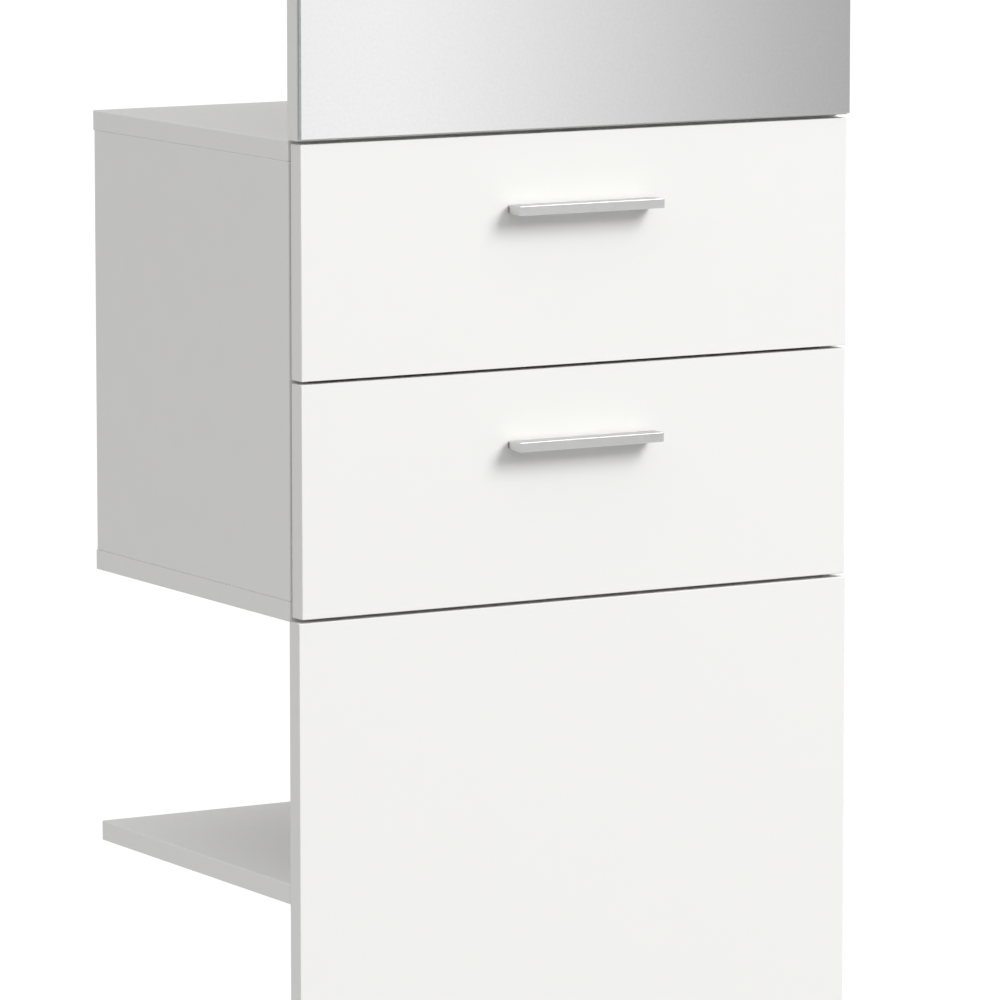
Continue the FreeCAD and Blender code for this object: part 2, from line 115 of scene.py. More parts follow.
class BoardSettings(bpy.types.PropertyGroup):
    edge_radius: length("Edge radius", "Rounding along the edges of the melamine boards", 0.0007, min=0.0001)
    thin_edge_radius: length("Thin edge radius", "Rounding along the edges of the hardboard", 0.0002, min=0.0)
    face_colour: colour("Face colour", "Melamine on the boards' faces", (0.806, 0.803, 0.785))
    band_colour: colour("Edge band colour", "Band on the boards' edges", (0.802, 0.798, 0.780))
    drawer_colour: colour("Drawer board colour", "Foil on the drawers' sides and backs", (0.745, 0.740, 0.717))


class MirrorSettings(bpy.types.PropertyGroup):
    chamfer: length("Chamfer", "Ground edge around the front of the glass", 0.0004, min=0.0001)
    silver_colour: colour("Silver colour", "Light that the mirror gives back", (0.930, 0.935, 0.930))
    edge_colour: colour("Glass edge colour", "Tint at the edge of the glass", (0.560, 0.620, 0.600))


class HandleSettings(bpy.types.PropertyGroup):
    outer_radius: length("Outer radius", "Rounding along the outside of the pulls", 0.0003, min=0.0001)
    inner_share: FloatProperty(
        name="Inner rounding", description="Inner rounding as a share of the outer", default=0.4,
        min=0.05, max=1.0, subtype="FACTOR"
    )
    metal_colour: colour("Metal colour", "Satin metal of the pulls and pegs", (0.674, 0.674, 0.669))


class FittingSettings(bpy.types.PropertyGroup):
    recess_width: length("Recess width", "Width of each arm of a cross recess", 0.0009, min=0.0002)
    thread_pitch: length("Wood thread pitch", "Rise of one turn of a wood thread", 0.0015, min=0.0005)
    fine_pitch: length("Fine thread pitch", "Rise of one turn of a metal thread", 0.0008, min=0.0003)
    flutes: IntProperty(name="Flutes", description="Flutes around a dowel", default=16, min=6, max=40)
    seed: IntProperty(name="Seed", description="Fixed seed for how far each screw is turned", default=7, min=0)


class RunnerSettings(bpy.types.PropertyGroup):
    sheet: length("Sheet", "Thickness of the runners' steel", 0.0012, min=0.0005)
    bend_radius: length("Bend radius", "Radius at the middle of a bend", 0.0014, min=0.0002)
    lip: length("Lip", "Width of the lip along the top of a cabinet runner", 0.0050, min=0.001)
    drawer_board: length("Drawer board", "Thickness of the drawer sides on the runners", 0.0120, min=0.004)
    axle_radius: length("Axle radius", "Radius of the rollers' axles", 0.0025, min=0.001)
    shoulder_radius: length("Shoulder radius", "Radius of an axle's shoulder and head", 0.0040, min=0.001)


class StudioSettings(bpy.types.PropertyGroup):
    sky: FloatProperty(name="Sky", description="Strength of the light from above", default=0.92, min=0.0)
    ground: FloatProperty(name="Ground", description="Strength of the light from below", default=0.50, min=0.0)
    key_power: FloatProperty(
        name="Key light", description="Power of the large front light", default=1740.0, unit="POWER"
    )
    key_size: length("Key light size", "Side of the large front light", 6.9, min=0.1)
    lens: FloatProperty(name="Lens", description="Focal length in millimetres", default=260.964, min=10.0)
    floor_radius: length("Floor radius", "Radius of the pale floor", 1.9, min=0.5)


class HallUnitSettings(bpy.types.PropertyGroup):
    boards: PointerProperty(type=BoardSettings)
    mirror: PointerProperty(type=MirrorSettings)
    handles: PointerProperty(type=HandleSettings)
    fittings: PointerProperty(type=FittingSettings)
    runners: PointerProperty(type=RunnerSettings)
    studio: PointerProperty(type=StudioSettings)


def settings():
    return bpy.context.scene.hall_unit


# ---- Node trees ----

def add_node(tree, kind, inputs=None, **choices):
    """A node with its choices made and each input set, or joined to another node's socket."""
    node = tree.nodes.new(kind)
    for name, value in choices.items():
        setattr(node, name, value)
    for key, value in (inputs or {}).items():
        if isinstance(value, bpy.types.NodeSocket):
            tree.links.new(value, node.inputs[key])
        else:
            node.inputs[key].default_value = value
    return node


def opaque(rgb):
    return (*rgb, 1.0)


class Finish:
    """A material on one Principled shader, with the steps that the finishes share."""

    def __init__(self, name, roughness=0.5, metallic=0.0, specular=0.5, edge_tint=1.0):
        self.material = bpy.data.materials.new(name)
        self.material.use_nodes = True
        self.tree = self.material.node_tree
        self.shader = self.tree.nodes["Principled BSDF"]
        self.shader.inputs["Roughness"].default_value = roughness
        self.shader.inputs["Metallic"].default_value = metallic
        self.shader.inputs["Specular IOR Level"].default_value = specular
        self.shader.inputs["Specular Tint"].default_value = (edge_tint, edge_tint, edge_tint, 1.0)
        self.places = add_node(self.tree, "ShaderNodeTexCoord").outputs["Object"]

    def follow(self, attribute):
        """Read the pattern's places from an attribute of the piece."""
        self.places = add_node(self.tree, "ShaderNodeAttribute", attribute_name=attribute).outputs["Vector"]

    def stretched(self, stretch):
        if stretch == (1.0, 1.0, 1.0):
            return self.places
        mapping = add_node(self.tree, "ShaderNodeMapping", {"Vector": self.places, "Scale": stretch})
        return mapping.outputs["Vector"]

    def noise(self, scale, detail=2.0, stretch=(1.0, 1.0, 1.0)):
        inputs = {"Vector": self.stretched(stretch), "Scale": scale, "Detail": detail}
        return add_node(self.tree, "ShaderNodeTexNoise", inputs).outputs[0]

    def cells(self, scale, stretch=(1.0, 1.0, 1.0), output="Distance"):
        inputs = {"Vector": self.stretched(stretch), "Scale": scale}
        return add_node(self.tree, "ShaderNodeTexVoronoi", inputs).outputs[output]

    def span(self, value, low, high, start=0.3, end=0.7):
        """The value spread between two numbers, as its source goes from start to end."""
        inputs = {"Value": value, "From Min": start, "From Max": end, "To Min": low, "To Max": high}
        return add_node(self.tree, "ShaderNodeMapRange", inputs).outputs["Result"]

    def paint(self, value, first, second):
        """Colour the surface between two tints."""
        mix = add_node(self.tree, "ShaderNodeMix", data_type="RGBA")
        self.tree.links.new(value, mix.inputs[0])
        mix.inputs[6].default_value = opaque(first)
        mix.inputs[7].default_value = opaque(second)
        self.tree.links.new(mix.outputs[2], self.shader.inputs["Base Color"])

    def roughen(self, value, low, high):
        self.tree.links.new(self.span(value, low, high), self.shader.inputs["Roughness"])

    def emboss(self, *reliefs):
        """Raise the surface by each height and depth in turn."""
        normal = None
        for height, depth in reliefs:
            bump = add_node(self.tree, "ShaderNodeBump", {"Height": height, "Distance": depth})
            if normal is not None:
                self.tree.links.new(normal, bump.inputs["Normal"])
            normal = bump.outputs["Normal"]
        self.tree.links.new(normal, self.shader.inputs["Normal"])


def shade(rgb, share):
    return tuple(min(1.0, part * share) for part in rgb)


# ---- Finishes ----

def finish(**surface):
    """Turn a function that coats a surface into one that gives its material, which is made once."""
    def wrap(coat_surface):
        @functools.cache
        @functools.wraps(coat_surface)
        def material():
            coat = Finish(coat_surface.__name__, **surface)
            coat_surface(coat)
            return coat.material

        return material

    return wrap


@finish(specular=0.35)
def white_melamine(coat):
    """Melamine film with a faint pearl surface."""
    tint = settings().boards.face_colour
    coat.paint(coat.noise(4.0), shade(tint, 0.994), shade(tint, 1.004))
    coat.roughen(coat.noise(55.0), 0.40, 0.48)
    coat.emboss((coat.noise(1500.0), 6e-6), (coat.cells(700.0), 3e-6))


@finish(specular=0.35)
def edge_band(coat):
    """Band glued to a board's edge: a shade duller, with trimming marks along it."""
    tint = settings().boards.band_colour
    coat.paint(coat.noise(9.0), shade(tint, 0.988), shade(tint, 1.004))
    coat.roughen(coat.noise(80.0), 0.44, 0.54)
    coat.emboss((coat.noise(900.0, 3.0), 8e-6))


@finish(roughness=0.85, specular=0.2)
def raw_chipboard(coat):
    """Pressed wood chips, where a hole or pocket is cut into a board."""
    chips = coat.cells(620.0, (1.0, 1.0, 2.2), "Color")
    coat.paint(coat.span(chips, 0.0, 1.0, 0.1, 0.9), (0.30, 0.19, 0.10), (0.58, 0.42, 0.26))
    coat.emboss((coat.cells(620.0, (1.0, 1.0, 2.2)), 1.2e-4), (coat.noise(1800.0, 4.0), 4e-5))


@finish(specular=0.4)
def drawer_foil(coat):
    """Thin foil with a fine embossed run, on the drawers' sides and backs."""
    tint = settings().boards.drawer_colour
    run = coat.noise(420.0, 3.0, (1.0, 0.05, 1.0))
    coat.paint(coat.span(run, 0.0, 1.0), shade(tint, 0.965), shade(tint, 1.015))
    coat.roughen(coat.noise(140.0, 2.0, (1.0, 0.1, 1.0)), 0.40, 0.52)
    coat.emboss((run, 1.5e-5))


@finish(specular=0.45)
def white_lacquer(coat):
    """Rolled lacquer on the good face of the hardboard."""
    coat.paint(coat.noise(14.0, 3.0), (0.815, 0.812, 0.785), (0.845, 0.840, 0.815))
    coat.roughen(coat.noise(90.0), 0.36, 0.50)
    coat.emboss((coat.noise(380.0, 2.0), 2.5e-5), (coat.noise(1300.0), 6e-6))


@finish(roughness=0.82, specular=0.25)
def brown_hardboard(coat):
    """Bare pressed fibre on the hidden face of the hardboard."""
    fibres = coat.noise(650.0, 6.0, (1.0, 1.0, 0.55))
    coat.paint(coat.span(fibres, 0.0, 1.0, 0.35, 0.65), (0.235, 0.140, 0.075), (0.385, 0.250, 0.145))
    coat.emboss((fibres, 6e-5), (coat.cells(520.0), 5e-5))


@finish(metallic=1.0)
def mirror_silver(coat):
    """Silvered glass, with a fine grain and the slight haze of a wiped surface."""
    tint = settings().mirror.silver_colour
    coat.paint(coat.noise(380.0, 3.0), shade(tint, 0.958), shade(tint, 1.039))
    coat.roughen(coat.noise(7.0, 4.0, (1.0, 1.0, 0.35)), 0.030, 0.055)
    coat.emboss((coat.noise(420.0, 2.0), 1.2e-6))


@finish(specular=0.6)
def ground_glass_edge(coat):
    """Ground and polished edge of the mirror glass."""
    tint = settings().mirror.edge_colour
    coat.paint(coat.noise(120.0), shade(tint, 0.85), shade(tint, 1.2))
    coat.roughen(coat.noise(400.0, 3.0), 0.12, 0.28)
    coat.emboss((coat.noise(1600.0, 2.0), 6e-6))


@finish(metallic=1.0, edge_tint=0.76)
def satin_metal(coat):
    """Blasted and plated metal with a soft sheen."""
    tint = settings().handles.metal_colour
    coat.paint(coat.noise(35.0), shade(tint, 0.975), shade(tint, 1.015))
    coat.roughen(coat.noise(260.0, 3.0), 0.33, 0.41)
    coat.emboss((coat.noise(3000.0, 2.0), 3.5e-6))


@finish(specular=0.5)
def runner_paint(coat):
    """Powder coat on the runners, with its orange-peel surface."""
    coat.paint(coat.noise(30.0), (0.790, 0.788, 0.765), (0.825, 0.822, 0.800))
    coat.roughen(coat.noise(120.0), 0.30, 0.40)
    coat.emboss((coat.noise(560.0), 2.2e-5))


@finish(specular=0.45)
def roller_nylon(coat):
    """Natural moulded nylon."""
    coat.paint(coat.noise(160.0), (0.760, 0.745, 0.690), (0.810, 0.798, 0.748))
    coat.roughen(coat.noise(300.0), 0.36, 0.46)
    coat.emboss((coat.noise(900.0), 9e-6))


@finish(metallic=1.0)
def cast_zinc(coat):
    """Die-cast zinc, dull and a little mottled."""
    mottle = coat.noise(320.0, 4.0)
    coat.paint(coat.span(mottle, 0.0, 1.0), (0.48, 0.48, 0.47), (0.66, 0.66, 0.64))
    coat.roughen(mottle, 0.36, 0.54)
    coat.emboss((coat.noise(1100.0, 3.0), 1.6e-5))


@finish(metallic=1.0)
def plated_steel(coat):
    """Zinc-plated steel, from bluish to faintly yellow."""
    coat.paint(coat.span(coat.noise(150.0), 0.0, 1.0), (0.60, 0.63, 0.66), (0.71, 0.69, 0.62))
    coat.roughen(coat.noise(420.0), 0.24, 0.36)
    coat.emboss((coat.noise(1800.0), 4e-6))


@finish(metallic=1.0)
def galvanised_steel(coat):
    """Galvanised sheet with its spangle."""
    spangle = coat.cells(210.0, output="Color")
    coat.paint(spangle, (0.54, 0.55, 0.56), (0.72, 0.73, 0.73))
    coat.roughen(spangle, 0.30, 0.44)
    coat.emboss((coat.cells(210.0), 1.2e-5), (coat.noise(1500.0), 5e-6))


@finish(roughness=0.62, specular=0.3)
def beech_dowel(coat):
    """Beech, with its grain along each dowel."""
    coat.follow("grain_run")
    rings = coat.noise(1100.0, 4.0, (1.0, 1.0, 0.05))
    coat.paint(coat.span(rings, 0.0, 1.0, 0.38, 0.62), (0.50, 0.31, 0.165), (0.69, 0.48, 0.29))
    coat.emboss((rings, 4e-5), (coat.cells(2400.0, (1.0, 1.0, 0.12)), 1.5e-5))


@finish(specular=0.45)
def glider_plastic(coat):
    """Hard plastic of the feet, scuffed matt."""
    coat.paint(coat.noise(240.0, 4.0), (0.70, 0.69, 0.655), (0.765, 0.757, 0.725))
    coat.roughen(coat.noise(500.0, 3.0), 0.42, 0.60)
    coat.emboss((coat.noise(1200.0, 3.0), 1.4e-5))


@finish(roughness=0.9, specular=0.2)
def foam_tape(coat):
    """Closed-cell foam of the mirror's tape."""
    cells = coat.cells(1900.0)
    coat.paint(cells, (0.84, 0.84, 0.82), (0.70, 0.70, 0.68))
    coat.emboss((cells, 9e-5))


# ---- Frame meshes ----

def joined_copy(node):
    """A copy of a frame node's mesh with its loose triangles joined and its flat faces whole."""
    source = frame["nodes"][node].data
    mesh = bmesh.new()
    points = [mesh.verts.new(vertex.co) for vertex in source.vertices]
    for polygon in source.polygons:
        mesh.faces.new([points[index] for index in polygon.vertices])
    bmesh.ops.remove_doubles(mesh, verts=mesh.verts, dist=JOIN_DISTANCE)
    bmesh.ops.dissolve_limit(mesh, angle_limit=FLAT_ANGLE, verts=mesh.verts, edges=mesh.edges)
    return mesh


def corners(points):
    return (
        Vector([min(point[axis] for point in points) for axis in range(3)]),
        Vector([max(point[axis] for point in points) for axis in range(3)]),
    )


def limits_met(point, low, high):
    """The sides of a box that a point lies on, as axis and side."""
    return {
        (axis, side)
        for axis in range(3)
        for side, limit in enumerate((low, high))
        if abs(point[axis] - limit[axis]) < LIMIT_TOLERANCE
    }


def shared_limits(edge, low, high):
    first, second = (limits_met(vertex.co, low, high) for vertex in edge.verts)
    return first & second


def frame_solids(node):
    """The points of each separate solid in a frame node."""
    mesh = joined_copy(node)
    waiting = set(mesh.verts)
    solids = []
    while waiting:
        reached = {waiting.pop()}
        edge_of_search = set(reached)
        while edge_of_search:
            edge_of_search = {
                edge.other_vert(vertex) for vertex in edge_of_search for edge in vertex.link_edges
            } - reached
            reached |= edge_of_search
        waiting -= reached
        solids.append([vertex.co.copy() for vertex in reached])
    mesh.free()
    return solids


# ---- Pieces ----

def mesh_data(name, mesh, materials):
    """A bmesh as mesh data, with its finishes in order."""
    data = bpy.data.meshes.new(name)
    mesh.to_mesh(data)
    mesh.free()
    for material in materials:
        data.materials.append(material)
    return data


def evaluated_mesh(obj):
    """A plain mesh of an object with its modifiers in place."""
    depsgraph = bpy.context.evaluated_depsgraph_get()
    depsgraph.update()
    return bpy.data.meshes.new_from_object(
        obj.evaluated_get(depsgraph), preserve_all_data_layers=True, depsgraph=depsgraph
    )


def stand_in(node, data):
    """Put a finished mesh in the scene in place of a frame node, on the node's own body."""
    name = f"finished_{node}"
    data.name = name
    piece = bpy.data.objects.new(name, data)
    bpy.context.scene.collection.objects.link(piece)
    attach(piece, frame["nodes"][node]["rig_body"])
    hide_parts(node)


def smooth_and_sharp(mesh):
    """Shade a mesh smooth on its bends and sharp on its folded and open edges."""
    for edge in mesh.edges:
        edge.smooth = len(edge.link_faces) == 2 and edge.calc_face_angle(0.0) < SHARP_ANGLE
    for face in mesh.faces:
        face.smooth = True


def rounded(name, mesh, materials, radius, band_index, segments=2):
    """A mesh rounded along its weighted edges, with the flats kept flat."""
    smooth_and_sharp(mesh)
    obj = bpy.data.objects.new(name, mesh_data(name, mesh, materials))
    bpy.context.scene.collection.objects.link(obj)
    bevel = obj.modifiers.new("rounding", "BEVEL")
    bevel.limit_method = "WEIGHT"
    bevel.width = radius
    bevel.segments = segments
    bevel.material = band_index
    bevel.use_clamp_overlap = True
    weighted = obj.modifiers.new("flat_faces", "WEIGHTED_NORMAL")
    weighted.keep_sharp = True
    made = evaluated_mesh(obj)
    spare = obj.data
    bpy.data.objects.remove(obj)
    bpy.data.meshes.remove(spare)
    return made


def weigh_edges(mesh, weight_of):
    """Give every edge the share of the rounding that it takes."""
    layer = mesh.edges.layers.float.new("bevel_weight_edge")
    for edge in mesh.edges:
        edge[layer] = weight_of(edge)


def finish_board(node, radius, makes, good_side=None):
    """A board with rounded outer edges. Its finishes are for faces, edges and cuts, in that order.

    good_side is the side of the thickness that shows, where the other has the finish of the cuts."""
    mesh = joined_copy(node)
    low, high = corners([vertex.co for vertex in mesh.verts])
    size = high - low
    thin = min(range(3), key=lambda axis: size[axis])
    weigh_edges(mesh, lambda edge: float(len({axis for axis, side in shared_limits(edge, low, high)}) > 1))
    for face in mesh.faces:
        sides = set.intersection(*(limits_met(vertex.co, low, high) for vertex in face.verts))
        if not sides:
            face.material_index = 2
        elif any(axis == thin for axis, side in sides):
            good = good_side is None or (thin, good_side) in sides
            face.material_index = 0 if good else 2
        else:
            face.material_index = 1
    data = rounded(node, mesh, [make() for make in makes], radius, 1)
    stand_in(node, data)


class HALLUNIT_OT_boards(bpy.types.Operator):
    """Finish the melamine boards with edge bands and rounded edges"""

    bl_idname = "hallunit.boards"
    bl_label = "Melamine Boards"

    def execute(self, context):
        radius = settings().boards.edge_radius
        for node in MELAMINE_BOARDS:
            finish_board(node, radius, (white_melamine, edge_band, raw_chipboard))
        return {"FINISHED"}


class HALLUNIT_OT_drawer_boards(bpy.types.Operator):
    """Finish the sides, backs and bottoms of the drawers and the back of the box"""

    bl_idname = "hallunit.drawer_boards"
    bl_label = "Drawer Boards and Hardboard"

    def execute(self, context):
        boards = settings().boards
        for drawer in DRAWERS:
            for part in ("side_left", "side_right", "back"):
                node = f"{drawer}_drawer_{part}"
                finish_board(node, boards.edge_radius, (drawer_foil, drawer_foil, raw_chipboard))
            layers = (white_lacquer, brown_hardboard, brown_hardboard)
            finish_board(f"{drawer}_drawer_bottom", boards.thin_edge_radius, layers, good_side=1)
        finish_board("box_back_panel", boards.thin_edge_radius, layers, good_side=0)
        return {"FINISHED"}


class HALLUNIT_OT_mirror(bpy.types.Operator):
    """Finish the mirror glass with its ground edge, and its foam tape"""

    bl_idname = "hallunit.mirror"
    bl_label = "Mirror"

    def execute(self, context):
        mesh = joined_copy("mirror_glass")
        low, high = corners([vertex.co for vertex in mesh.verts])
        weigh_edges(mesh, lambda edge: 1.0 if (1, 0) in shared_limits(edge, low, high) else 0.2)
        for face in mesh.faces:
            face.material_index = 0 if face.normal.y < -0.9 else 1
        finishes = [mirror_silver(), ground_glass_edge()]
        data = rounded("mirror_glass", mesh, finishes, settings().mirror.chamfer, 1, segments=1)
        stand_in("mirror_glass", data)
        tape = frame["nodes"]["mirror_tape"].data
        tape.materials.clear()
        tape.materials.append(foam_tape())
        return {"FINISHED"}


def cell_solid(mesh, cuts, is_open):
    """Add the outside of the solid cells between cuts along each axis. is_open tells which cells are empty."""
    counts = [len(places) - 1 for places in cuts]
    points = {}

    def point(place):
        if place not in points:
            points[place] = mesh.verts.new([cuts[axis][place[axis]] for axis in range(3)])
        return points[place]

    def solid(cell):
        inside = all(0 <= cell[axis] < counts[axis] for axis in range(3))
        return inside and not is_open(cell)

    for cell in itertools.product(*(range(count) for count in counts)):
        for axis, side in itertools.product(range(3), (0, 1)):
            beyond = list(cell)
            beyond[axis] += 2 * side - 1
            if not solid(cell) or solid(tuple(beyond)):
                continue
            first, second = (axis + 1) % 3, (axis + 2) % 3
            around = []
            for step in ((0, 0), (1, 0), (1, 1), (0, 1)):
                place = list(cell)
                place[axis] += side
                place[first] += step[0]
                place[second] += step[1]
                around.append(point(tuple(place)))
            mesh.faces.new(around if side else around[::-1])


class HALLUNIT_OT_handles(bpy.types.Operator):
    """Make the satin pulls: a shell open below, on a foot at each end, with a boss for each screw"""

    bl_idname = "hallunit.handles"
    bl_label = "Handles"

    standoff: length("Standoff", "From the drawer front to the back of the shell", 0.0040, min=0.0)
    top_wall: length("Top wall", "Thickness of the shell's top", 0.0020, min=0.0005)
    lip: length("Lip", "Thickness of the shell's front", 0.0025, min=0.0005)
    end_wall: length("End wall", "Thickness of the shell's ends", 0.0030, min=0.0005)
    foot_length: length("Foot length", "Length of the foot at each end", 0.0080, min=0.001)
    foot_inset: length("Foot inset", "Step from the shell's faces to a foot's", 0.0010, min=0.0)
    boss_width: length("Boss width", "Width of the boss around each screw", 0.0090, min=0.002)
    screw_spacing: length("Screw spacing", "Between the two screws", 0.0960, min=0.01)

    def execute(self, context):
        for drawer in DRAWERS:
            self.make_handle(f"{drawer}_handle")
        return {"FINISHED"}

    def make_handle(self, node):
        handles = settings().handles
        low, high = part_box(node)
        middle = (low + high) / 2
        shell_back = high.y - self.standoff
        cuts = (
            (low.x, low.x + self.end_wall, high.x - self.end_wall, high.x),
            (low.y, low.y + self.lip, shell_back),
            (low.z, high.z - self.top_wall, high.z),
        )
        mesh = bmesh.new()
        cell_solid(mesh, cuts, lambda cell: cell == (1, 1, 0))
        bmesh.ops.dissolve_limit(mesh, angle_limit=FLAT_ANGLE, verts=mesh.verts, edges=mesh.edges)
        heights = (low.z + self.foot_inset, high.z - self.foot_inset)
        for hand in HANDS.values():
            foot_far = middle.x + hand * (high.x - middle.x - self.foot_inset)
            foot_span = sorted((foot_far, foot_far - hand * self.foot_length))
            cell_solid(mesh, (foot_span, (shell_back - self.lip, high.y), heights), lambda cell: False)
            boss_x = middle.x + hand * self.screw_spacing / 2
            boss_span = (boss_x - self.boss_width / 2, boss_x + self.boss_width / 2)
            cell_solid(mesh, (boss_span, (low.y + self.lip / 2, high.y), heights), lambda cell: False)

        def weight(edge):
            if edge.calc_face_angle(0.0) < SHARP_ANGLE:
                return 0.0
            shell_low, shell_high = low, Vector((high.x, shell_back, high.z))
            outer = len({axis for axis, side in shared_limits(edge, shell_low, shell_high)}) > 1
            return 1.0 if outer else handles.inner_share

        weigh_edges(mesh, weight)
        data = rounded(node, mesh, [satin_metal()], handles.outer_radius, 0, segments=3)
        stand_in(node, data)


class HALLUNIT_OT_wall_brackets(bpy.types.Operator):
    """Finish the steel angles that hold the unit to the wall"""

    bl_idname = "hallunit.wall_brackets"
    bl_label = "Wall Brackets"

    bend_radius: length("Bend radius", "Outer radius of the bend", 0.0026, min=0.0)
    corner_share: FloatProperty(
        name="Edge rounding", description="Rounding of the cut edges as a share of the bend's", default=0.12
    )

    def execute(self, context):
        mesh = joined_copy("wall_brackets")
        low, high = corners([vertex.co for vertex in mesh.verts])

        def weight(edge):
            if edge.calc_face_angle(0.0) < SHARP_ANGLE:
                return 0.0
            bend = {(1, 1), (2, 1)} <= shared_limits(edge, low, high)
            return 1.0 if bend else self.corner_share

        weigh_edges(mesh, weight)
        data = rounded("wall_brackets", mesh, [galvanised_steel()], self.bend_radius, 0, segments=4)
        stand_in("wall_brackets", data)
        return {"FINISHED"}


# ---- Runners and rollers ----

def turned_ring(mesh, outline, start, along, sides=28, closed=False):
    """Turn an outline of (distance along, radius) about an axis. A closed outline makes a ring with a bore."""
    side_way = along.orthogonal().normalized()
    turn_way = along.cross(side_way)
    rings = []
    for distance, radius in outline:
        ring = []
        for step in range(sides):
            angle = 2 * math.pi * step / sides
            out = side_way * math.cos(angle) + turn_way * math.sin(angle)
            ring.append(mesh.verts.new(start + along * distance + out * radius))
        rings.append(ring)
    faces = []
    for near, far in zip(rings, rings[1:] + (rings[:1] if closed else [])):
        for step in range(sides):
            after = (step + 1) % sides
            faces.append(mesh.faces.new((near[step], near[after], far[after], far[step])))
    if not closed:
        faces.append(mesh.faces.new(rings[0][::-1]))
        faces.append(mesh.faces.new(rings[-1]))
    bmesh.ops.recalc_face_normals(mesh, faces=faces)


def rounded_path(corner_points, radius, steps=4):
    """A path through corner points with each corner between its ends made an arc."""
    path = [corner_points[0]]
    for before, corner, after in zip(corner_points, corner_points[1:], corner_points[2:]):
        start_way = (before - corner).normalized()
        end_way = (after - corner).normalized()
        half_turn = (math.pi - start_way.angle(end_way)) / 2
        reach = radius * math.tan(half_turn)
        centre = corner + (start_way + end_way).normalized() * radius / math.cos(half_turn)
        first = corner + start_way * reach - centre
        last = corner + end_way * reach - centre
        for step in range(steps + 1):
            share = step / steps
            blend = (first * math.sin((1 - share) * 2 * half_turn) + last * math.sin(share * 2 * half_turn))
            path.append(centre + blend / math.sin(2 * half_turn))
    path.append(corner_points[-1])
    return path


def folded_strip(mesh, corner_points, sheet, bend_radius, run):
    """Sheet folded along a path of (x, z) corners and run along y between two limits."""
    path = rounded_path([Vector(point) for point in corner_points], bend_radius)
    left, right = [], []
    for index, point in enumerate(path):
        way = (path[min(index + 1, len(path) - 1)] - path[max(index - 1, 0)]).normalized()
        out = Vector((-way.y, way.x)) * sheet / 2
        left.append(point + out)
        right.append(point - out)
    section = left + right[::-1]
    ends = [[mesh.verts.new((point.x, y, point.y)) for point in section] for y in run]
    faces = []
    count = len(section)
    for index in range(count):
        after = (index + 1) % count
        faces.append(mesh.faces.new((ends[0][index], ends[0][after], ends[1][after], ends[1][index])))
    half = len(path)
    for end in ends:
        for index in range(half - 1):
            corner = (end[index], end[index + 1], end[count - 2 - index], end[count - 1 - index])
            faces.append(mesh.faces.new(corner))
    bmesh.ops.recalc_face_normals(mesh, faces=faces)


# The ends of an axle, each a distance from the web or from the far end, and a share of the shoulder's radius
AXLE_RIVET = ((-0.0016, 0.45), (-0.0015, 0.8), (-0.0012, 1.0), (0.0006, 1.0), (0.0010, 0.92))
AXLE_HEAD = ((0.00065, 0.97), (0.00028, 1.0), (0.00007, 0.8), (0.0, 0.4))
AXLE_STEP = 5e-5


def add_axle(mesh, start, along, reach, axle_radius, shoulder_radius):
    """A riveted axle from a member's web, with its domed head at the far end."""
    near = [(distance, shoulder_radius * share) for distance, share in AXLE_RIVET]
    far = [(reach - distance, shoulder_radius * share) for distance, share in AXLE_HEAD]
    shaft = [(near[-1][0] + AXLE_STEP, axle_radius), (far[0][0] - AXLE_STEP, axle_radius)]
    turned_ring(mesh, near + shaft + far, start, along)


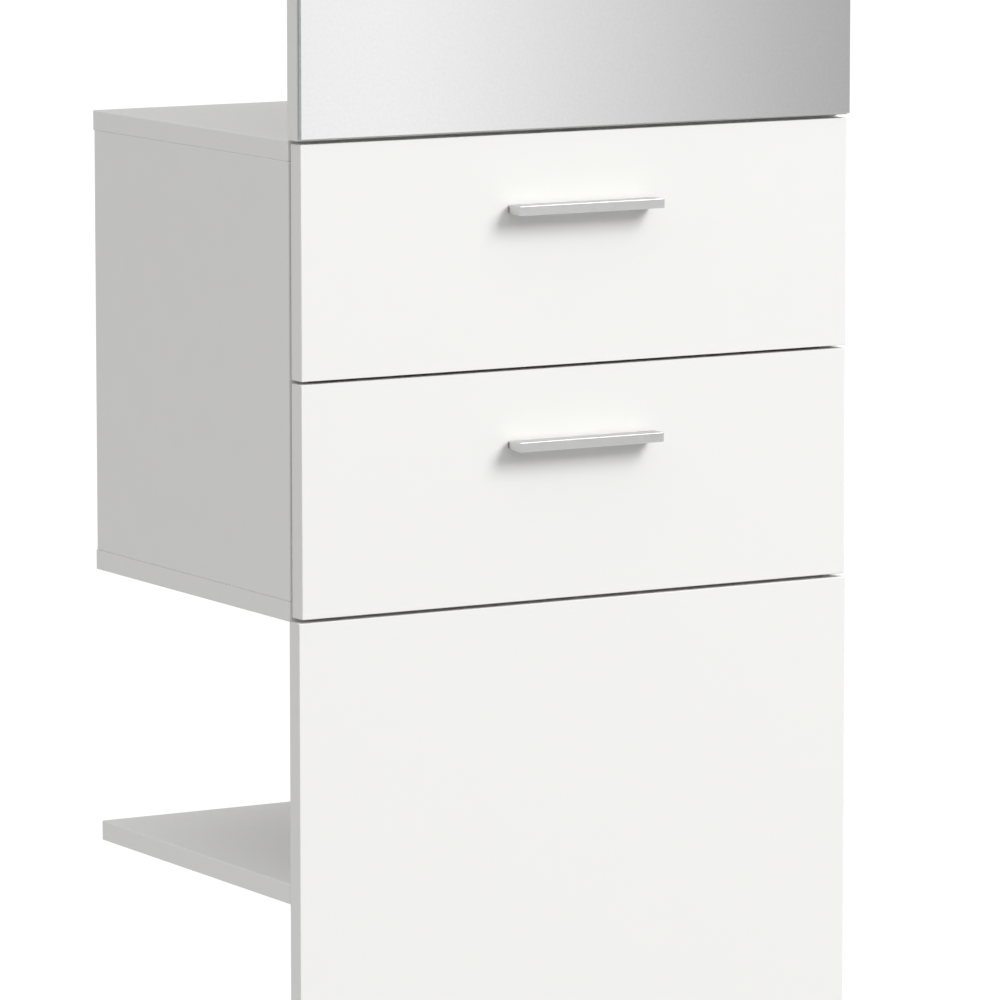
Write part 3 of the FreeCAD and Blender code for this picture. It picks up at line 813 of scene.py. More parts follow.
class HALLUNIT_OT_runners(bpy.types.Operator):
    """Make the folded runner members with their riveted axles"""

    bl_idname = "hallunit.runners"
    bl_label = "Runners"

    bead_depth: length("Bead depth", "Depth of the stiffening bead along the web", 0.0004, min=0.0)
    bead_width: length("Bead width", "Width of the stiffening bead", 0.0040, min=0.001)
    bead_drop: length("Bead drop", "From the top of a cabinet runner to its bead", 0.0055, min=0.002)

    def make_member(self, node, corner_points, roller, axle_from, axle_to):
        """A folded member as long as its node, with its roller's axle between two places across the unit."""
        runners = settings().runners
        low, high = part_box(node)
        mesh = bmesh.new()
        folded_strip(mesh, corner_points, runners.sheet, runners.bend_radius, (low.y, high.y))
        middle = sum(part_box(roller), Vector()) / 2
        start = Vector((axle_from, middle.y, middle.z))
        along = Vector((math.copysign(1.0, axle_to - axle_from), 0, 0))
        reach = abs(axle_to - start.x)
        add_axle(mesh, start, along, reach, runners.axle_radius, runners.shoulder_radius)
        smooth_and_sharp(mesh)
        stand_in(node, mesh_data(node, mesh, [runner_paint()]))

    def cabinet_member(self, drawer, side, hand):
        runners = settings().runners
        node = f"cabinet_runner_{drawer}_{side}"
        low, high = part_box(node)
        half = runners.sheet / 2
        wall_x, track_end = (high.x, low.x)[::hand]
        web_x = wall_x - hand * half
        bead_x = web_x - hand * self.bead_depth
        bead_z = high.z - self.bead_drop
        corner_points = (
            (wall_x - hand * runners.lip, high.z - half), (web_x, high.z - half),
            (web_x, bead_z + self.bead_width / 2), (bead_x, bead_z), (web_x, bead_z - self.bead_width / 2),
            (web_x, low.z + half), (track_end, low.z + half),
        )
        roller = f"front_roller_{drawer}_{side}"
        self.make_member(node, corner_points, roller, wall_x - hand * runners.sheet, track_end)

    def drawer_member(self, drawer, side, hand):
        runners = settings().runners
        node = f"{drawer}_drawer_runner_{side}"
        low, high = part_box(node)
        half = runners.sheet / 2
        rest_end, flange_end = (low.x, high.x)[::hand]
        web_x = rest_end + hand * (runners.drawer_board + half)
        corner_points = (
            (rest_end, low.z + half), (web_x, low.z + half), (web_x, high.z - half), (flange_end, high.z - half),
        )
        self.make_member(node, corner_points, f"rear_roller_{drawer}_{side}", web_x + hand * half, flange_end)

    def execute(self, context):
        for drawer in DRAWERS:
            for side, hand in HANDS.items():
                self.cabinet_member(drawer, side, hand)
                self.drawer_member(drawer, side, hand)
        return {"FINISHED"}


# Half of a roller's section, from its middle plane outwards, as shares of its half width and its radius
ROLLER_SECTION = (
    (1.00, 0.310), (1.00, 0.490), (0.62, 0.535), (0.62, 0.790), (1.00, 0.830), (1.00, 0.940),
    (0.94, 0.975), (0.78, 1.000),
)
# A rib's width as a share of the roller's half width, then its other sizes and its middle as shares of the radius
RIB_WIDTH, RIB_THICKNESS, RIB_REACH, RIB_MIDDLE = 1.7, 0.10, 0.30, 0.66


class HALLUNIT_OT_rollers(bpy.types.Operator):
    """Make the moulded rollers of the runners, each with a ribbed web"""

    bl_idname = "hallunit.rollers"
    bl_label = "Rollers"

    ribs: IntProperty(name="Ribs", description="Ribs on each side of a roller's web", default=6, min=3, max=12)

    def execute(self, context):
        for end in ("front", "rear"):
            for drawer in DRAWERS:
                for side in HANDS:
                    self.make_roller(f"{end}_roller_{drawer}_{side}")
        return {"FINISHED"}

    def make_roller(self, node):
        low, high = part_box(node)
        centre = (low + high) / 2
        half_width = (high.x - low.x) / 2
        radius = (high.z - low.z) / 2
        bore = settings().runners.axle_radius + AXLE_CLEARANCE
        near = [(-across * half_width, share * radius) for across, share in ROLLER_SECTION]
        far = [(across * half_width, share * radius) for across, share in reversed(ROLLER_SECTION)]
        outline = [(distance, max(bore, reach)) for distance, reach in near + far]
        mesh = bmesh.new()
        turned_ring(mesh, outline, centre, Vector((1, 0, 0)), sides=40, closed=True)
        for step in range(self.ribs):
            turn = Matrix.Rotation(2 * math.pi * step / self.ribs, 4, "X")
            rib = Matrix.Diagonal((half_width * RIB_WIDTH, radius * RIB_THICKNESS, radius * RIB_REACH, 1.0))
            place = Matrix.Translation(centre) @ turn @ Matrix.Translation((0, 0, radius * RIB_MIDDLE)) @ rib
            bmesh.ops.create_cube(mesh, size=1.0, matrix=place)
        smooth_and_sharp(mesh)
        stand_in(node, mesh_data(node, mesh, [roller_nylon()]))


# ---- Fittings set out by node trees ----

Place = namedtuple("Place", "at along facing length wide narrow")


def place_of(points, axis=None):
    """Where a turned solid starts, at its wide end, which way it runs, and how long and wide it is."""
    low, high = corners(points)
    size = high - low
    if axis is None:
        axis = max(range(3), key=lambda way: size[way])
    middle = (low + high) / 2

    def reach(level):
        """How far the solid reaches from its axis at one end."""
        at_end = [point - middle for point in points if abs(point[axis] - level) < LIMIT_TOLERANCE]
        return max(math.hypot(*(part for way, part in enumerate(point) if way != axis)) for point in at_end)

    low_reach, high_reach = reach(low[axis]), reach(high[axis])
    along = Vector((0, 0, 0))
    along[axis] = 1.0 if low_reach >= high_reach else -1.0
    at = middle.copy()
    at[axis] = low[axis] if low_reach >= high_reach else high[axis]
    wide, narrow = max(low_reach, high_reach), min(low_reach, high_reach)
    return Place(at, along, along.orthogonal().normalized(), size[axis], wide, narrow)


def total(tree, sizes, terms):
    """A length in a node tree: the sum of named sizes, each times its share."""
    value = 0.0
    for name, share in terms.items():
        inputs = {0: sizes[name], 1: share, 2: value}
        value = add_node(tree, "ShaderNodeMath", inputs, operation="MULTIPLY_ADD").outputs[0]
    return value


def chosen(tree, values):
    """The value for each point of a line, by its number along the line."""
    switch = add_node(tree, "GeometryNodeIndexSwitch", data_type="FLOAT")
    while len(switch.index_switch_items) < len(values):
        switch.index_switch_items.new()
    tree.links.new(add_node(tree, "GeometryNodeInputIndex").outputs[0], switch.inputs["Index"])
    for number, value in enumerate(values):
        tree.links.new(value, switch.inputs[number + 1])
    return switch.outputs[0]


def turned_shape(tree, sizes, stations, section=None, sides=20):
    """A shape turned about z, through stations that each give a height and a radius as sums of sizes."""
    line = add_node(tree, "GeometryNodeMeshLine", {"Count": len(stations)})
    curve = add_node(tree, "GeometryNodeMeshToCurve", {"Mesh": line.outputs[0]})
    heights = chosen(tree, [total(tree, sizes, height) for height, radius in stations])
    position = add_node(tree, "ShaderNodeCombineXYZ", {"X": 0.0, "Z": heights})
    placed = add_node(
        tree, "GeometryNodeSetPosition", {"Geometry": curve.outputs[0], "Position": position.outputs[0]}
    )
    radii = chosen(tree, [total(tree, sizes, radius) for height, radius in stations])
    if section is None:
        inputs = {"Resolution": sides, "Radius": 1.0}
        section = add_node(tree, "GeometryNodeCurvePrimitiveCircle", inputs).outputs[0]
    inputs = {"Curve": placed.outputs[0], "Profile Curve": section, "Scale": radii, "Fill Caps": True}
    return add_node(tree, "GeometryNodeCurveToMesh", inputs).outputs[0]


def thread_turns(tree, sizes, start, height, radius, steps=12):
    """A thread wound round z from one height up through another."""
    rise = total(tree, sizes, height)
    pitch = sizes["Thread pitch"]
    turns = add_node(tree, "ShaderNodeMath", {0: rise, 1: pitch}, operation="DIVIDE").outputs[0]
    around = total(tree, sizes, radius)
    inputs = {
        "Resolution": steps, "Rotations": turns, "Start Radius": around, "End Radius": around, "Height": rise,
    }
    spiral = add_node(tree, "GeometryNodeCurveSpiral", inputs)
    tooth = add_node(tree, "ShaderNodeMath", {0: pitch, 1: 0.30}, operation="MULTIPLY").outputs[0]
    section = add_node(tree, "GeometryNodeCurvePrimitiveCircle", {"Resolution": 3, "Radius": tooth})
    inputs = {"Curve": spiral.outputs[0], "Profile Curve": section.outputs[0], "Fill Caps": True}
    ridge = add_node(tree, "GeometryNodeCurveToMesh", inputs)
    lift = add_node(tree, "ShaderNodeCombineXYZ", {"Z": total(tree, sizes, start)})
    inputs = {"Geometry": ridge.outputs[0], "Translation": lift.outputs[0]}
    return add_node(tree, "GeometryNodeTransform", inputs).outputs[0]


def cross_recess(tree, sizes, body, span, depth):
    """A body with a cross cut into its end at z = 0."""
    cut = add_node(tree, "GeometryNodeMeshBoolean", {0: body}, operation="DIFFERENCE", solver="EXACT")
    across = total(tree, sizes, span)
    twice = total(tree, sizes, {name: 2 * share for name, share in depth.items()})
    for first, second in ((across, sizes["Recess width"]), (sizes["Recess width"], across)):
        size = add_node(tree, "ShaderNodeCombineXYZ", {"X": first, "Y": second, "Z": twice})
        arm = add_node(tree, "GeometryNodeMeshCube", {"Size": size.outputs[0]})
        tree.links.new(arm.outputs[0], cut.inputs[1])
    return cut.outputs[0]


def together(tree, *shapes):
    join = add_node(tree, "GeometryNodeJoinGeometry")
    for shape in shapes:
        tree.links.new(shape, join.inputs[0])
    return join.outputs[0]


def fitting_tree(build, sizes):
    """A node tree that builds one fitting from named sizes and sets it out on points.

    Each point's "along" is the fitting's own z, and its "facing" the fitting's own x."""
    tree = bpy.data.node_groups.new(build.__name__, "GeometryNodeTree")
    tree.is_modifier = True
    tree.interface.new_socket("Places", in_out="INPUT", socket_type="NodeSocketGeometry")
    for size, default in sizes.items():
        socket = tree.interface.new_socket(size, in_out="INPUT", socket_type="NodeSocketFloat")
        socket.subtype = "DISTANCE"
        socket.default_value = default
    tree.interface.new_socket("Seed", in_out="INPUT", socket_type="NodeSocketInt")
    tree.interface.new_socket("Most turn", in_out="INPUT", socket_type="NodeSocketFloat")
    tree.interface.new_socket("Finish", in_out="INPUT", socket_type="NodeSocketMaterial")
    tree.interface.new_socket("Fittings", in_out="OUTPUT", socket_type="NodeSocketGeometry")
    given = add_node(tree, "NodeGroupInput").outputs

    rotation = None
    for axis, pivot, attribute in (("Z", "AUTO", "along"), ("X", "Z", "facing")):
        way = add_node(tree, "GeometryNodeInputNamedAttribute", {"Name": attribute}, data_type="FLOAT_VECTOR")
        inputs = {"Vector": way.outputs[0]}
        if rotation is not None:
            inputs["Rotation"] = rotation
        align = add_node(tree, "FunctionNodeAlignRotationToVector", inputs, axis=axis, pivot_axis=pivot)
        rotation = align.outputs[0]
    chance = add_node(tree, "FunctionNodeRandomValue", data_type="FLOAT")
    tree.links.new(given["Seed"], chance.inputs["Seed"])
    tree.links.new(given["Most turn"], chance.inputs[3])
    twist = add_node(tree, "ShaderNodeCombineXYZ", {"Z": chance.outputs[1]})
    turned = add_node(
        tree, "FunctionNodeRotateRotation", {"Rotation": rotation, "Rotate By": twist.outputs[0]},
        rotation_space="LOCAL"
    )
    inputs = {"Points": given["Places"], "Instance": build(tree, given), "Rotation": turned.outputs[0]}
    instances = add_node(tree, "GeometryNodeInstanceOnPoints", inputs)
    real = add_node(tree, "GeometryNodeRealizeInstances", {"Geometry": instances.outputs[0]})
    smooth = add_node(tree, "GeometryNodeSetShadeSmooth", {"Geometry": real.outputs[0]}, domain="FACE")
    angle = add_node(tree, "GeometryNodeInputMeshEdgeAngle")
    folded = add_node(
        tree, "FunctionNodeCompare", {0: angle.outputs[0], 1: SHARP_ANGLE}, data_type="FLOAT",
        operation="GREATER_THAN"
    )
    inputs = {"Geometry": smooth.outputs[0], "Selection": folded.outputs[0], "Shade Smooth": False}
    sharp = add_node(tree, "GeometryNodeSetShadeSmooth", inputs, domain="EDGE")
    inputs = {"Geometry": sharp.outputs[0], "Material": given["Finish"]}
    painted = add_node(tree, "GeometryNodeSetMaterial", inputs)
    result = add_node(tree, "NodeGroupOutput")
    tree.links.new(painted.outputs[0], result.inputs[0])
    return tree


made_trees = {}


def set_out(build, places, material, most_turn=0.0, **sizes):
    """The mesh of one kind of fitting, with its named sizes, at some places."""
    values = {name.replace("_", " ").capitalize(): value for name, value in sizes.items()}
    if build not in made_trees:
        made_trees[build] = fitting_tree(build, values)
    tree = made_trees[build]
    data = bpy.data.meshes.new("places")
    data.from_pydata([place.at for place in places], [], [])
    for name in ("along", "facing"):
        attribute = data.attributes.new(name, "FLOAT_VECTOR", "POINT")
        for number, place in enumerate(places):
            attribute.data[number].vector = getattr(place, name)
    obj = bpy.data.objects.new("places", data)
    bpy.context.scene.collection.objects.link(obj)
    modifier = obj.modifiers.new("fittings", "NODES")
    modifier.node_group = tree
    values.update({"Seed": settings().fittings.seed, "Most turn": most_turn, "Finish": material})
    for item in tree.interface.items_tree:
        if item.in_out == "INPUT" and item.name in values:
            modifier[item.identifier] = values[item.name]
    obj.update_tag()
    made = evaluated_mesh(obj)
    if not made.polygons:
        raise RuntimeError(f"{tree.name} made nothing at {len(places)} places")
    bpy.data.objects.remove(obj)
    bpy.data.meshes.remove(data)
    for name in ("along", "facing"):
        if name in made.attributes:
            made.attributes.remove(made.attributes[name])
    return made


def merged(meshes):
    """Several meshes of one finish as one."""
    if len(meshes) == 1:
        return meshes[0]
    mesh = bmesh.new()
    for made in meshes:
        mesh.from_mesh(made)
    return mesh_data("merged", mesh, list(meshes[0].materials))


def stations_of(height, radius, *shares):
    """Stations of a turned fitting that give a height and a radius as shares of one size each."""
    return tuple(({height: up}, {radius: out}) for up, out in shares)


# Stations of the turned fittings, each a height and a radius as shares of the named sizes
SCREW = stations_of(
    "Head height", "Head radius", (0.0, 0.62), (0.12, 0.82), (0.40, 0.96), (0.75, 1.0), (1.0, 0.98)
) + (
    ({"Head height": 1.01}, {"Shank radius": 0.98}),
    ({"Head height": 1.0, "Length": 0.12}, {"Shank radius": 0.98}),
    ({"Head height": 1.0, "Length": 0.14}, {"Shank radius": 0.70}),
    ({"Head height": -1.0, "Length": 1.0}, {"Shank radius": 0.70}),
    ({"Length": 1.0}, {"Shank radius": 0.12}),
)
CAM_BOLT = stations_of(
    "Head length", "Head radius", (0.0, 0.70), (0.12, 0.92), (0.50, 1.0), (0.85, 0.88)
) + stations_of(
    "Head length", "Shank radius", (1.05, 0.80), (2.10, 0.80), (2.25, 1.0)
) + (
    ({"Length": 1.0, "Thread length": -1.12}, {"Shank radius": 1.0}),
    ({"Length": 1.0, "Thread length": -1.02}, {"Shank radius": 0.74}),
    ({"Length": 1.0, "Thread length": -0.08}, {"Shank radius": 0.74}),
    ({"Length": 1.0}, {"Shank radius": 0.45}),
)
CAM_DISC = stations_of("Height", "Radius", (0.0, 0.955), (0.03, 1.0), (0.97, 1.0), (1.0, 0.95))
DOWEL = stations_of("Length", "Radius", (0.0, 0.76), (0.035, 1.0), (0.965, 1.0), (1.0, 0.76))
STUD = stations_of("Length", "Radius", (0.0, 0.62), (0.02, 0.84), (0.98, 0.84), (1.0, 0.62))
GLIDER = stations_of(
    "Foot height", "Foot radius", (0.0, 0.76), (0.10, 0.88), (0.32, 0.97), (0.55, 1.0), (0.97, 1.0), (1.0, 0.97)
) + (
    ({"Foot height": 1.005}, {"Nail radius": 1.0}),
    ({"Foot height": 0.6, "Length": 0.8}, {"Nail radius": 0.95}),
    ({"Length": 1.0}, {"Nail radius": 0.15}),
)
COAT_PEG = stations_of(
    "Rose depth", "Rose radius", (0.0, 1.0), (0.55, 1.0), (0.85, 0.965), (1.0, 0.88), (1.10, 0.60)
) + stations_of(
    "Rose depth", "Stem radius", (1.35, 1.22), (1.95, 1.05), (3.0, 0.97)
) + stations_of(
    "Length", "Stem radius", (0.70, 0.92), (0.80, 0.98), (0.845, 1.16), (0.870, 1.45)
) + stations_of(
    "Length", "Knob radius", (0.888, 0.82), (0.908, 0.95), (0.935, 1.0), (0.962, 0.975), (0.983, 0.88),
    (0.995, 0.70), (1.0, 0.40)
)


def cross_head_screw(tree, sizes):
    body = turned_shape(tree, sizes, SCREW)
    head = cross_recess(tree, sizes, body, {"Head radius": 1.15}, {"Head height": 0.62})
    start = {"Head height": 1.0, "Length": 0.14}
    thread = thread_turns(tree, sizes, start, {"Length": 0.80, "Head height": -1.6}, {"Shank radius": 0.74})
    return together(tree, head, thread)


def cam_bolt(tree, sizes):
    body = turned_shape(tree, sizes, CAM_BOLT, sides=16)
    head = cross_recess(tree, sizes, body, {"Head radius": 1.1}, {"Head length": 0.4})
    start = {"Length": 1.0, "Thread length": -0.98}
    thread = thread_turns(tree, sizes, start, {"Thread length": 0.90}, {"Shank radius": 0.76}, 10)
    return together(tree, head, thread)


def cam_disc(tree, sizes):
    """A disc with a shallow dish, a cross recess, and a slot from its rim that takes a bolt's head."""
    body = turned_shape(tree, sizes, CAM_DISC, sides=32)
    crossed = cross_recess(tree, sizes, body, {"Radius": 1.0}, {"Height": 0.17})
    cut = add_node(tree, "GeometryNodeMeshBoolean", {0: crossed}, operation="DIFFERENCE", solver="EXACT")
    dish_depth = total(tree, sizes, {"Height": 0.06})
    inputs = {"Vertices": 32, "Radius": total(tree, sizes, {"Radius": 0.82}), "Depth": dish_depth}
    tree.links.new(add_node(tree, "GeometryNodeMeshCylinder", inputs).outputs[0], cut.inputs[1])
    inputs = {
        "X": total(tree, sizes, {"Radius": 1.2}), "Y": total(tree, sizes, {"Slot radius": 2.0}),
        "Z": total(tree, sizes, {"Slot radius": 2.0}),
    }
    slot_size = add_node(tree, "ShaderNodeCombineXYZ", inputs)
    slot = add_node(tree, "GeometryNodeMeshCube", {"Size": slot_size.outputs[0]})
    inputs = {"X": total(tree, sizes, {"Radius": 0.5}), "Z": sizes["Slot middle"]}
    slot_place = add_node(tree, "ShaderNodeCombineXYZ", inputs)
    inputs = {"Geometry": slot.outputs[0], "Translation": slot_place.outputs[0]}
    tree.links.new(add_node(tree, "GeometryNodeTransform", inputs).outputs[0], cut.inputs[1])
    inputs = {"Geometry": cut.outputs[0], "Distance": JOIN_DISTANCE}
    return add_node(tree, "GeometryNodeMergeByDistance", inputs).outputs[0]


def fluted_dowel(tree, sizes):
    """A fluted dowel that keeps its own places, so that its grain runs along it."""
    inputs = {"Points": settings().fittings.flutes, "Inner Radius": 0.93, "Outer Radius": 1.0, "Twist": 0.0}
    star = add_node(tree, "GeometryNodeCurveStar", inputs)
    body = turned_shape(tree, sizes, DOWEL, section=star.outputs[0])
    place = add_node(tree, "GeometryNodeInputPosition")
    inputs = {"Geometry": body, "Name": "grain_run", "Value": place.outputs[0]}
    return add_node(
        tree, "GeometryNodeStoreNamedAttribute", inputs, data_type="FLOAT_VECTOR", domain="POINT"
    ).outputs[0]


def threaded_stud(tree, sizes):
    body = turned_shape(tree, sizes, STUD, sides=16)
    thread = thread_turns(tree, sizes, {"Length": 0.02}, {"Length": 0.96}, {"Radius": 0.86}, 10)
    return together(tree, body, thread)


def nailed_glider(tree, sizes):
    return turned_shape(tree, sizes, GLIDER, sides=40)


def coat_peg(tree, sizes):
    return turned_shape(tree, sizes, COAT_PEG, sides=48)


def screw_meshes(node, head_height, pitch):
    """The screws of a node, made in one go for each length."""
    by_length = {}
    for place in map(place_of, frame_solids(node)):
        by_length.setdefault(round(place.length, 5), []).append(place)
    return merged([
        set_out(
            cross_head_screw, places, plated_steel(), most_turn=math.pi, head_radius=places[0].wide,
            head_height=head_height, shank_radius=places[0].narrow, length=screw_length,
            recess_width=settings().fittings.recess_width, thread_pitch=pitch,
        )
        for screw_length, places in sorted(by_length.items())
    ])


class HALLUNIT_OT_screws(bpy.types.Operator):
    """Set out the wood screws, drawer screws and handle screws"""

    bl_idname = "hallunit.screws"
    bl_label = "Screws"

    wood_head: length("Wood screw head", "Height of a wood screw's head", 0.0013, min=0.0005)
    machine_head: length("Handle screw head", "Height of a handle screw's head", 0.0024, min=0.0005)

    def execute(self, context):
        fittings = settings().fittings
        heads = {"wood_screws": (self.wood_head, fittings.thread_pitch)}
        for drawer in DRAWERS:
            heads[f"{drawer}_drawer_screws"] = (self.wood_head, fittings.thread_pitch)
            heads[f"{drawer}_handle_screws"] = (self.machine_head, fittings.fine_pitch)
        for node, (head_height, pitch) in heads.items():
            stand_in(node, screw_meshes(node, head_height, pitch))
        return {"FINISHED"}


class HALLUNIT_OT_dowels(bpy.types.Operator):
    """Set out the fluted beech dowels"""

    bl_idname = "hallunit.dowels"
    bl_label = "Dowels"

    def execute(self, context):
        places = [place_of(points) for points in frame_solids("wood_dowels")]
        made = set_out(fluted_dowel, places, beech_dowel(), radius=places[0].wide, length=places[0].length)
        stand_in("wood_dowels", made)
        return {"FINISHED"}


class HALLUNIT_OT_cam_fittings(bpy.types.Operator):
    """Set out the cam bolts and the discs that hold them"""

    bl_idname = "hallunit.cam_fittings"
    bl_label = "Cam Fittings"

    disc_radius: length("Disc radius", "Radius of a cam disc", 0.0075, min=0.003)
    slot_radius: length("Slot radius", "Half width of the slot for a bolt's head", 0.0035, min=0.001)
    head_length: length("Bolt head length", "Length of a bolt's head", 0.0030, min=0.001)
    thread_length: length("Bolt thread length", "Length of a bolt's thread", 0.0100, min=0.002)

    def sorted_solids(self, nodes):
        """The bolts, as places, and the discs, as corners, among the solids of some nodes."""
        bolts, discs = [], []
        for node in nodes:
            for points in frame_solids(node):
                low, high = corners(points)
                if max(high - low) > 3 * self.disc_radius:
                    bolts.append(place_of(points))
                else:
                    discs.append((low, high))
        return bolts, discs

    def disc_place(self, low, high, bolts):
        """A disc's place, open side first, with its slot towards the joint that its bolt comes from."""
        middle = (low + high) / 2
        bolt = min(bolts, key=lambda place: (place.at - middle).length)
        size = high - low
        ways = [way for way in range(3) if abs(bolt.along[way]) < 0.5]
        axis = min(ways, key=lambda way: abs(size[way] - 2 * self.disc_radius) < LIMIT_TOLERANCE * 10)
        open_at_high = middle[axis] > bolt.at[axis]
        at = bolt.at.copy()
        at[axis] = high[axis] if open_at_high else low[axis]
        along = Vector((0, 0, 0))
        along[axis] = -1.0 if open_at_high else 1.0
        return Place(at, along, bolt.along, size[axis], abs(at[axis] - bolt.at[axis]), 0.0)

    def execute(self, context):
        fittings = settings().fittings

        def bolt_mesh(places):
            return set_out(
                cam_bolt, places, cast_zinc(), most_turn=math.pi, head_radius=places[0].wide,
                head_length=self.head_length, shank_radius=0.75 * places[0].wide, length=places[0].length,
                thread_length=self.thread_length, recess_width=fittings.recess_width,
                thread_pitch=fittings.thread_pitch,
            )

        def disc_mesh(discs, bolts):
            places = [self.disc_place(low, high, bolts) for low, high in discs]
            return set_out(
                cam_disc, places, cast_zinc(), radius=self.disc_radius, height=places[0].length,
                slot_radius=self.slot_radius, slot_middle=places[0].wide, recess_width=1.4 * fittings.recess_width,
            )

        bolts, discs = self.sorted_solids(("cam_bolts", "cam_discs"))
        stand_in("cam_bolts", bolt_mesh(bolts))
        stand_in("cam_discs", disc_mesh(discs, bolts))
        for drawer in DRAWERS:
            node = f"{drawer}_drawer_cam_fittings"
            bolts, discs = self.sorted_solids((node,))
            stand_in(node, merged([bolt_mesh(bolts), disc_mesh(discs, bolts)]))
        return {"FINISHED"}


class HALLUNIT_OT_gliders(bpy.types.Operator):
    """Set out the nailed gliders under the base board"""

    bl_idname = "hallunit.gliders"
    bl_label = "Floor Gliders"

    foot_height: length("Foot height", "Height of a glider's foot", 0.0050, min=0.001)

    def execute(self, context):
        places = [place_of(points, axis=2) for points in frame_solids("floor_gliders")]
        made = set_out(
            nailed_glider, places, glider_plastic(), foot_radius=places[0].wide, foot_height=self.foot_height,
            nail_radius=places[0].narrow, length=places[0].length,
        )
        stand_in("floor_gliders", made)
        return {"FINISHED"}


class HALLUNIT_OT_coat_pegs(bpy.types.Operator):
    """Set out the turned coat pegs and the studs that they screw on to"""

    bl_idname = "hallunit.coat_pegs"
    bl_label = "Coat Pegs"

    rose_depth: length("Rose depth", "Depth of the round plate at the upright", 0.0030, min=0.001)
    stem_radius: length("Stem radius", "Radius of the stem", 0.0050, min=0.002)
    knob_radius: length("Knob radius", "Radius of the knob at the end", 0.0110, min=0.004)

    def execute(self, context):
        places = [place_of(points) for points in frame_solids("coat_hooks")]
        made = set_out(
            coat_peg, places, satin_metal(), rose_depth=self.rose_depth, rose_radius=places[0].wide,
            stem_radius=self.stem_radius, knob_radius=self.knob_radius, length=places[0].length,
        )
        stand_in("coat_hooks", made)
        places = [place_of(points) for points in frame_solids("coat_hook_studs")]
        made = set_out(
            threaded_stud, places, plated_steel(), radius=places[0].wide, length=places[0].length,
            thread_pitch=settings().fittings.fine_pitch,
        )
        stand_in("coat_hook_studs", made)
        return {"FINISHED"}


# ---- Studio ----

# Brightness of the studio wall that only shiny surfaces see, by the direction from the unit in degrees
# (0 is straight in front, 90 to the right)
WALL_SHADES = (
    (-180, 0.42), (-165, 0.22), (-150, 0.10), (-135, 0.22), (-110, 0.42), (-85, 0.80), (-60, 0.48),
    (-35, 0.84), (-12, 0.60), (5, 0.52), (16, 0.70), (21, 0.86), (24.6, 0.935), (26.1, 0.902), (27.8, 0.826),
    (30.4, 0.690), (33.0, 0.547), (34.7, 0.467), (38, 0.36), (46, 0.34), (62, 0.74), (85, 0.46), (110, 0.78),
    (140, 0.42),
)
WALL_RADIUS = 3.2
WALL_HEIGHTS = (-1.2, 2.3)
WALL_DIM_FROM = (-0.9, 0.7)    # heights between which the wall goes from dim to full brightness
WALL_DIM_SHARE = 0.55
FLOOR_COLOUR = (0.87, 0.87, 0.86)
FLOOR_ROUGHNESS = 0.7
WHITE_FROM, WHITE_AT = 0.85, 1.40    # reach from the middle at which the floor starts and ends going white

# The soft surround is brightest along this axis, and goes over from ground to sky between these heights
SKY_AXIS = (-0.20, 0.35, 0.915)
SKY_FROM, SKY_AT = -0.30, 0.85


def mixed(tree, share, first, second, output):
    """Join two shaders to the output, from the first at a share of 0 to the second at 1."""
    mix = add_node(tree, "ShaderNodeMixShader", {0: share, 1: first.outputs[0], 2: second.outputs[0]})
    tree.links.new(mix.outputs[0], tree.nodes[output].inputs["Surface"])


def pale_floor():
    """Pale floor under the unit that goes over to the studio's white further out."""
    floor = Finish("pale_floor", roughness=FLOOR_ROUGHNESS)
    floor.shader.inputs["Base Color"].default_value = opaque(FLOOR_COLOUR)
    tree, places = floor.tree, floor.places
    reach = add_node(tree, "ShaderNodeVectorMath", {0: places}, operation="LENGTH")
    inputs = {"Value": reach.outputs["Value"], "From Min": WHITE_FROM, "From Max": WHITE_AT}
    share = add_node(tree, "ShaderNodeMapRange", inputs, interpolation_type="SMOOTHSTEP")
    white = add_node(tree, "ShaderNodeEmission", {"Color": WHITE, "Strength": WHITE_STRENGTH})
    mixed(tree, share.outputs["Result"], floor.shader, white, "Material Output")
    return floor.material


def studio_wall_light():
    """Soft bright and dim stretches round the studio wall."""
    material = bpy.data.materials.new("studio_wall")
    material.use_nodes = True
    tree = material.node_tree
    tree.nodes.remove(tree.nodes["Principled BSDF"])
    places = add_node(tree, "ShaderNodeTexCoord").outputs["Object"]
    around = add_node(tree, "ShaderNodeTexGradient", {"Vector": places}, gradient_type="RADIAL")
    ramp = add_node(tree, "ShaderNodeValToRGB", {"Fac": around.outputs["Fac"]})
    ramp.color_ramp.interpolation = "LINEAR"
    stops = sorted((((direction - 90) / 360 + 0.5) % 1.0, level) for direction, level in WALL_SHADES)
    elements = ramp.color_ramp.elements
    for position, level in stops[1:-1]:
        elements.new(position)
    for element, (position, level) in zip(elements, stops):
        element.position = position
    for element, (position, level) in zip(elements, stops):
        element.color = (level, level, level, 1.0)
    height = add_node(tree, "ShaderNodeSeparateXYZ", {0: places}).outputs["Z"]
    inputs = {
        "Value": height, "From Min": WALL_DIM_FROM[0], "From Max": WALL_DIM_FROM[1], "To Min": WALL_DIM_SHARE,
    }
    strength = add_node(tree, "ShaderNodeMapRange", inputs, interpolation_type="SMOOTHSTEP").outputs["Result"]
    light = add_node(tree, "ShaderNodeEmission", {"Color": ramp.outputs["Color"], "Strength": strength})
    tree.links.new(light.outputs[0], tree.nodes["Material Output"].inputs["Surface"])
    return material


def stage_object(name, mesh, material):
    obj = bpy.data.objects.new(name, mesh_data(name, mesh, [material]))
    bpy.context.scene.collection.objects.link(obj)
    return obj


